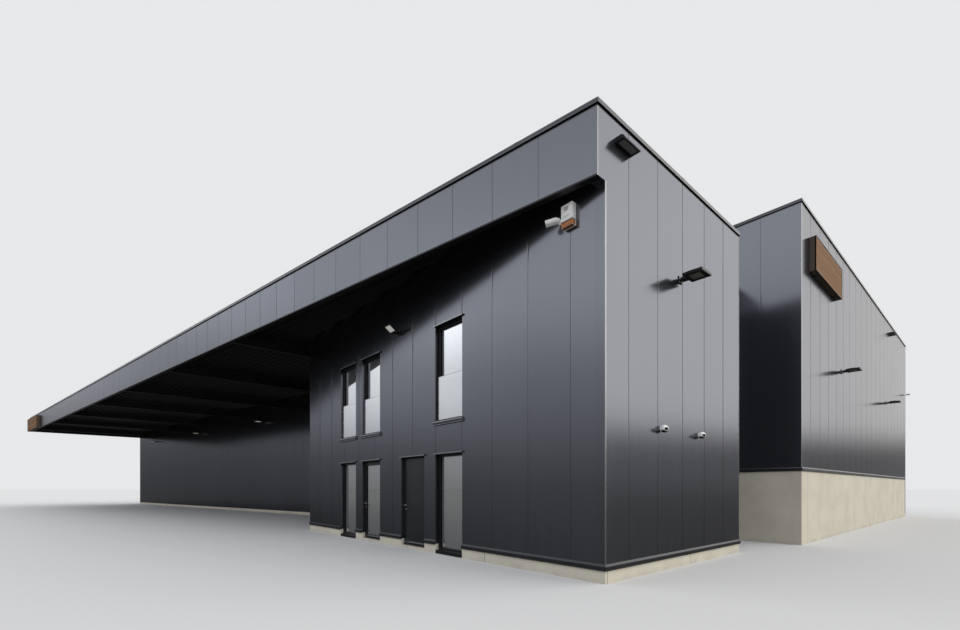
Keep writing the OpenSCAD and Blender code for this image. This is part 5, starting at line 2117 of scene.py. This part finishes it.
@dataclass(frozen=True)
class Studio:
    """Camera, pale floor and a soft dome of light that is brighter on the building's right side.

    Each ramp is where it starts and ends, and its values below and above. The front ones set the dome's level
    in front by height, the left ones are its factors towards the left, and the side ones set it on the right.
    """

    camera_at: Point = (2.1286, -3.2001, 0.7799)
    look: Plan2 = (-0.75363, 0.65730)
    lens: float = 17.1925
    sensor: float = 36.0
    horizon_px: float = 488.093
    photo: tuple[int, int] = (960, 630)
    far: float = 1000.0
    floor_half: float = 300.0
    backdrop: Colour = (0.80, 0.81, 0.82)
    floor_pale: Colour = (0.66, 0.655, 0.645)
    yard: Colour = (0.10, 0.098, 0.092)
    front_light: Colour = (0.95, 0.98, 1.04)
    side_light: Colour = (1.0, 0.985, 0.96)
    side_way: Point = (0.55, 0.80, 0.0)
    horizon_tilt: Point = (-0.12, 0.0, 1.0)
    backdrop_in_gloss: float = 0.15
    floor_in_gloss: float = 0.055
    front_horizon: Ramp = (-0.02, 0.12, 0.05, 0.24)
    front_low: Ramp = (0.05, 0.24, 0.0, 0.33)
    front_middle: Ramp = (0.22, 0.40, 0.0, 0.78)
    front_top: Ramp = (0.45, 0.62, 0.0, 0.42)
    front_most: float = 1.6
    left_wide: Ramp = (0.66, 0.86, 1.0, 2.2)
    left_narrow: Ramp = (0.88, 0.97, 0.0, 2.2)
    side_horizon: Ramp = (0.034, 0.088, 0.20, 2.25)
    side_top: Ramp = (0.45, 0.80, 0.0, 0.60)
    side_left: Ramp = (-0.30, -0.10, 1.0, 0.47)
    side_share: Ramp = (0.0, 0.6, 0.0, 1.0)

    def camera(self) -> None:
        """Makes the camera of the photograph's view."""
        data = bpy.data.cameras.new("photo_camera")
        data.lens = self.lens
        data.sensor_width = self.sensor
        data.shift_y = (self.horizon_px - self.photo[1] / 2) / self.photo[0]
        data.clip_end = self.far
        made = bpy.data.objects.new("photo_camera", data)
        made.location = self.camera_at
        made.rotation_euler = (math.pi / 2, 0.0, math.atan2(-self.look[0], self.look[1]))
        bpy.context.scene.collection.objects.link(made)
        bpy.context.scene.camera = made

    def floor(self) -> None:
        """Makes the floor, pale to the camera and a plain grey yard to the rest."""
        mesh = bpy.data.meshes.new("studio_floor")
        form = bmesh.new()
        bmesh.ops.create_grid(form, x_segments=1, y_segments=1, size=self.floor_half)
        form.to_mesh(mesh)
        form.free()
        floor = bpy.data.objects.new("studio_floor", mesh)
        bpy.context.scene.collection.objects.link(floor)
        paint = bpy.data.materials.new("studio_floor")
        paint.use_nodes = True
        sheet = NodeSheet(paint.node_tree)
        pale = sheet.node("ShaderNodeBsdfDiffuse", {}, {"Color": (*self.floor_pale, 1.0)})
        yard = sheet.node("ShaderNodeBsdfDiffuse", {}, {"Color": (*self.yard, 1.0)})
        seen = self.seen_plainly(sheet, self.floor_in_gloss)
        sheet.output(sheet.node("ShaderNodeMixShader", {}, {0: seen, 1: yard, 2: pale}))
        mesh.materials.append(paint)

    def world(self) -> None:
        """Makes the dome: soft from above, dimmer towards the horizon, with a plain pale backdrop."""
        world = bpy.data.worlds.new("studio_dome")
        world.use_nodes = True
        bpy.context.scene.world = world
        sheet = NodeSheet(world.node_tree)
        way = sheet.node("ShaderNodeTexCoord", out="Generated")
        rise = sheet.node("ShaderNodeSeparateXYZ", {}, {0: way}, "Z")
        left = sheet.dot(way, (-1.0, 0.0, 0.0))
        more = left.step(*self.left_wide) + left.step(*self.left_narrow)
        high = rise.step(*self.front_low) + rise.step(*self.front_middle) - rise.step(*self.front_top)
        front = rise.step(*self.front_horizon) + (high * more).least(self.front_most)
        side = sheet.dot(way, self.horizon_tilt).step(*self.side_horizon) - rise.step(*self.side_top)
        side = side * left.step(*self.side_left)
        share = sheet.dot(way, self.side_way).step(*self.side_share)
        colour = sheet.blend(share, self.front_light, self.side_light)
        level = front + (side - front) * share
        dome = sheet.node("ShaderNodeBackground", {}, {"Color": colour, "Strength": level})
        plain = sheet.node("ShaderNodeBackground", {}, {"Color": (*self.backdrop, 1.0), "Strength": 1.0})
        seen = self.seen_plainly(sheet, self.backdrop_in_gloss)
        mixed = sheet.node("ShaderNodeMixShader", {}, {0: seen, 1: dome, 2: plain})
        sheet.output(mixed, "ShaderNodeOutputWorld")

    @staticmethod
    def seen_plainly(sheet: NodeSheet, in_gloss: float) -> Wire:
        """How much of the plain pale stage a ray sees.

        Args:
            sheet: the node tree.
            in_gloss: the share for reflections.

        Returns:
            1 for the camera's rays, also through glass, the share for reflections, and 0 for the rest.
        """
        rays = ("Is Camera Ray", "Is Transmission Ray", "Is Glossy Ray")
        camera, through, glossy = (sheet.node("ShaderNodeLightPath", out=ray) for ray in rays)
        return camera.most(through).most(glossy * in_gloss)

    def build(self) -> None:
        """Makes the whole studio."""
        self.camera()
        self.floor()
        self.world()
        bpy.context.scene.view_settings.view_transform = "Standard"


def main() -> None:
    """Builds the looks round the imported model."""
    logging.basicConfig(level=logging.INFO, format="%(name)s: %(message)s")
    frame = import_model()
    Studio().build()
    dress_nodes(frame["nodes"])
    solid, glazed = Openings.doorways
    leaves = (DoorLeaf(SOLID_DOOR, solid, False), DoorLeaf(GLAZED_DOOR, glazed, True))
    walls = (CornerTrims(), Copings(), PlinthTrims(), Openings(), JointLiners())
    for part in (*walls, *leaves, Lights(), Cameras(), Siren(), Signs(), CanopyFrame(), Roofs()):
        part.build()


if __name__ == "__main__":
    main()
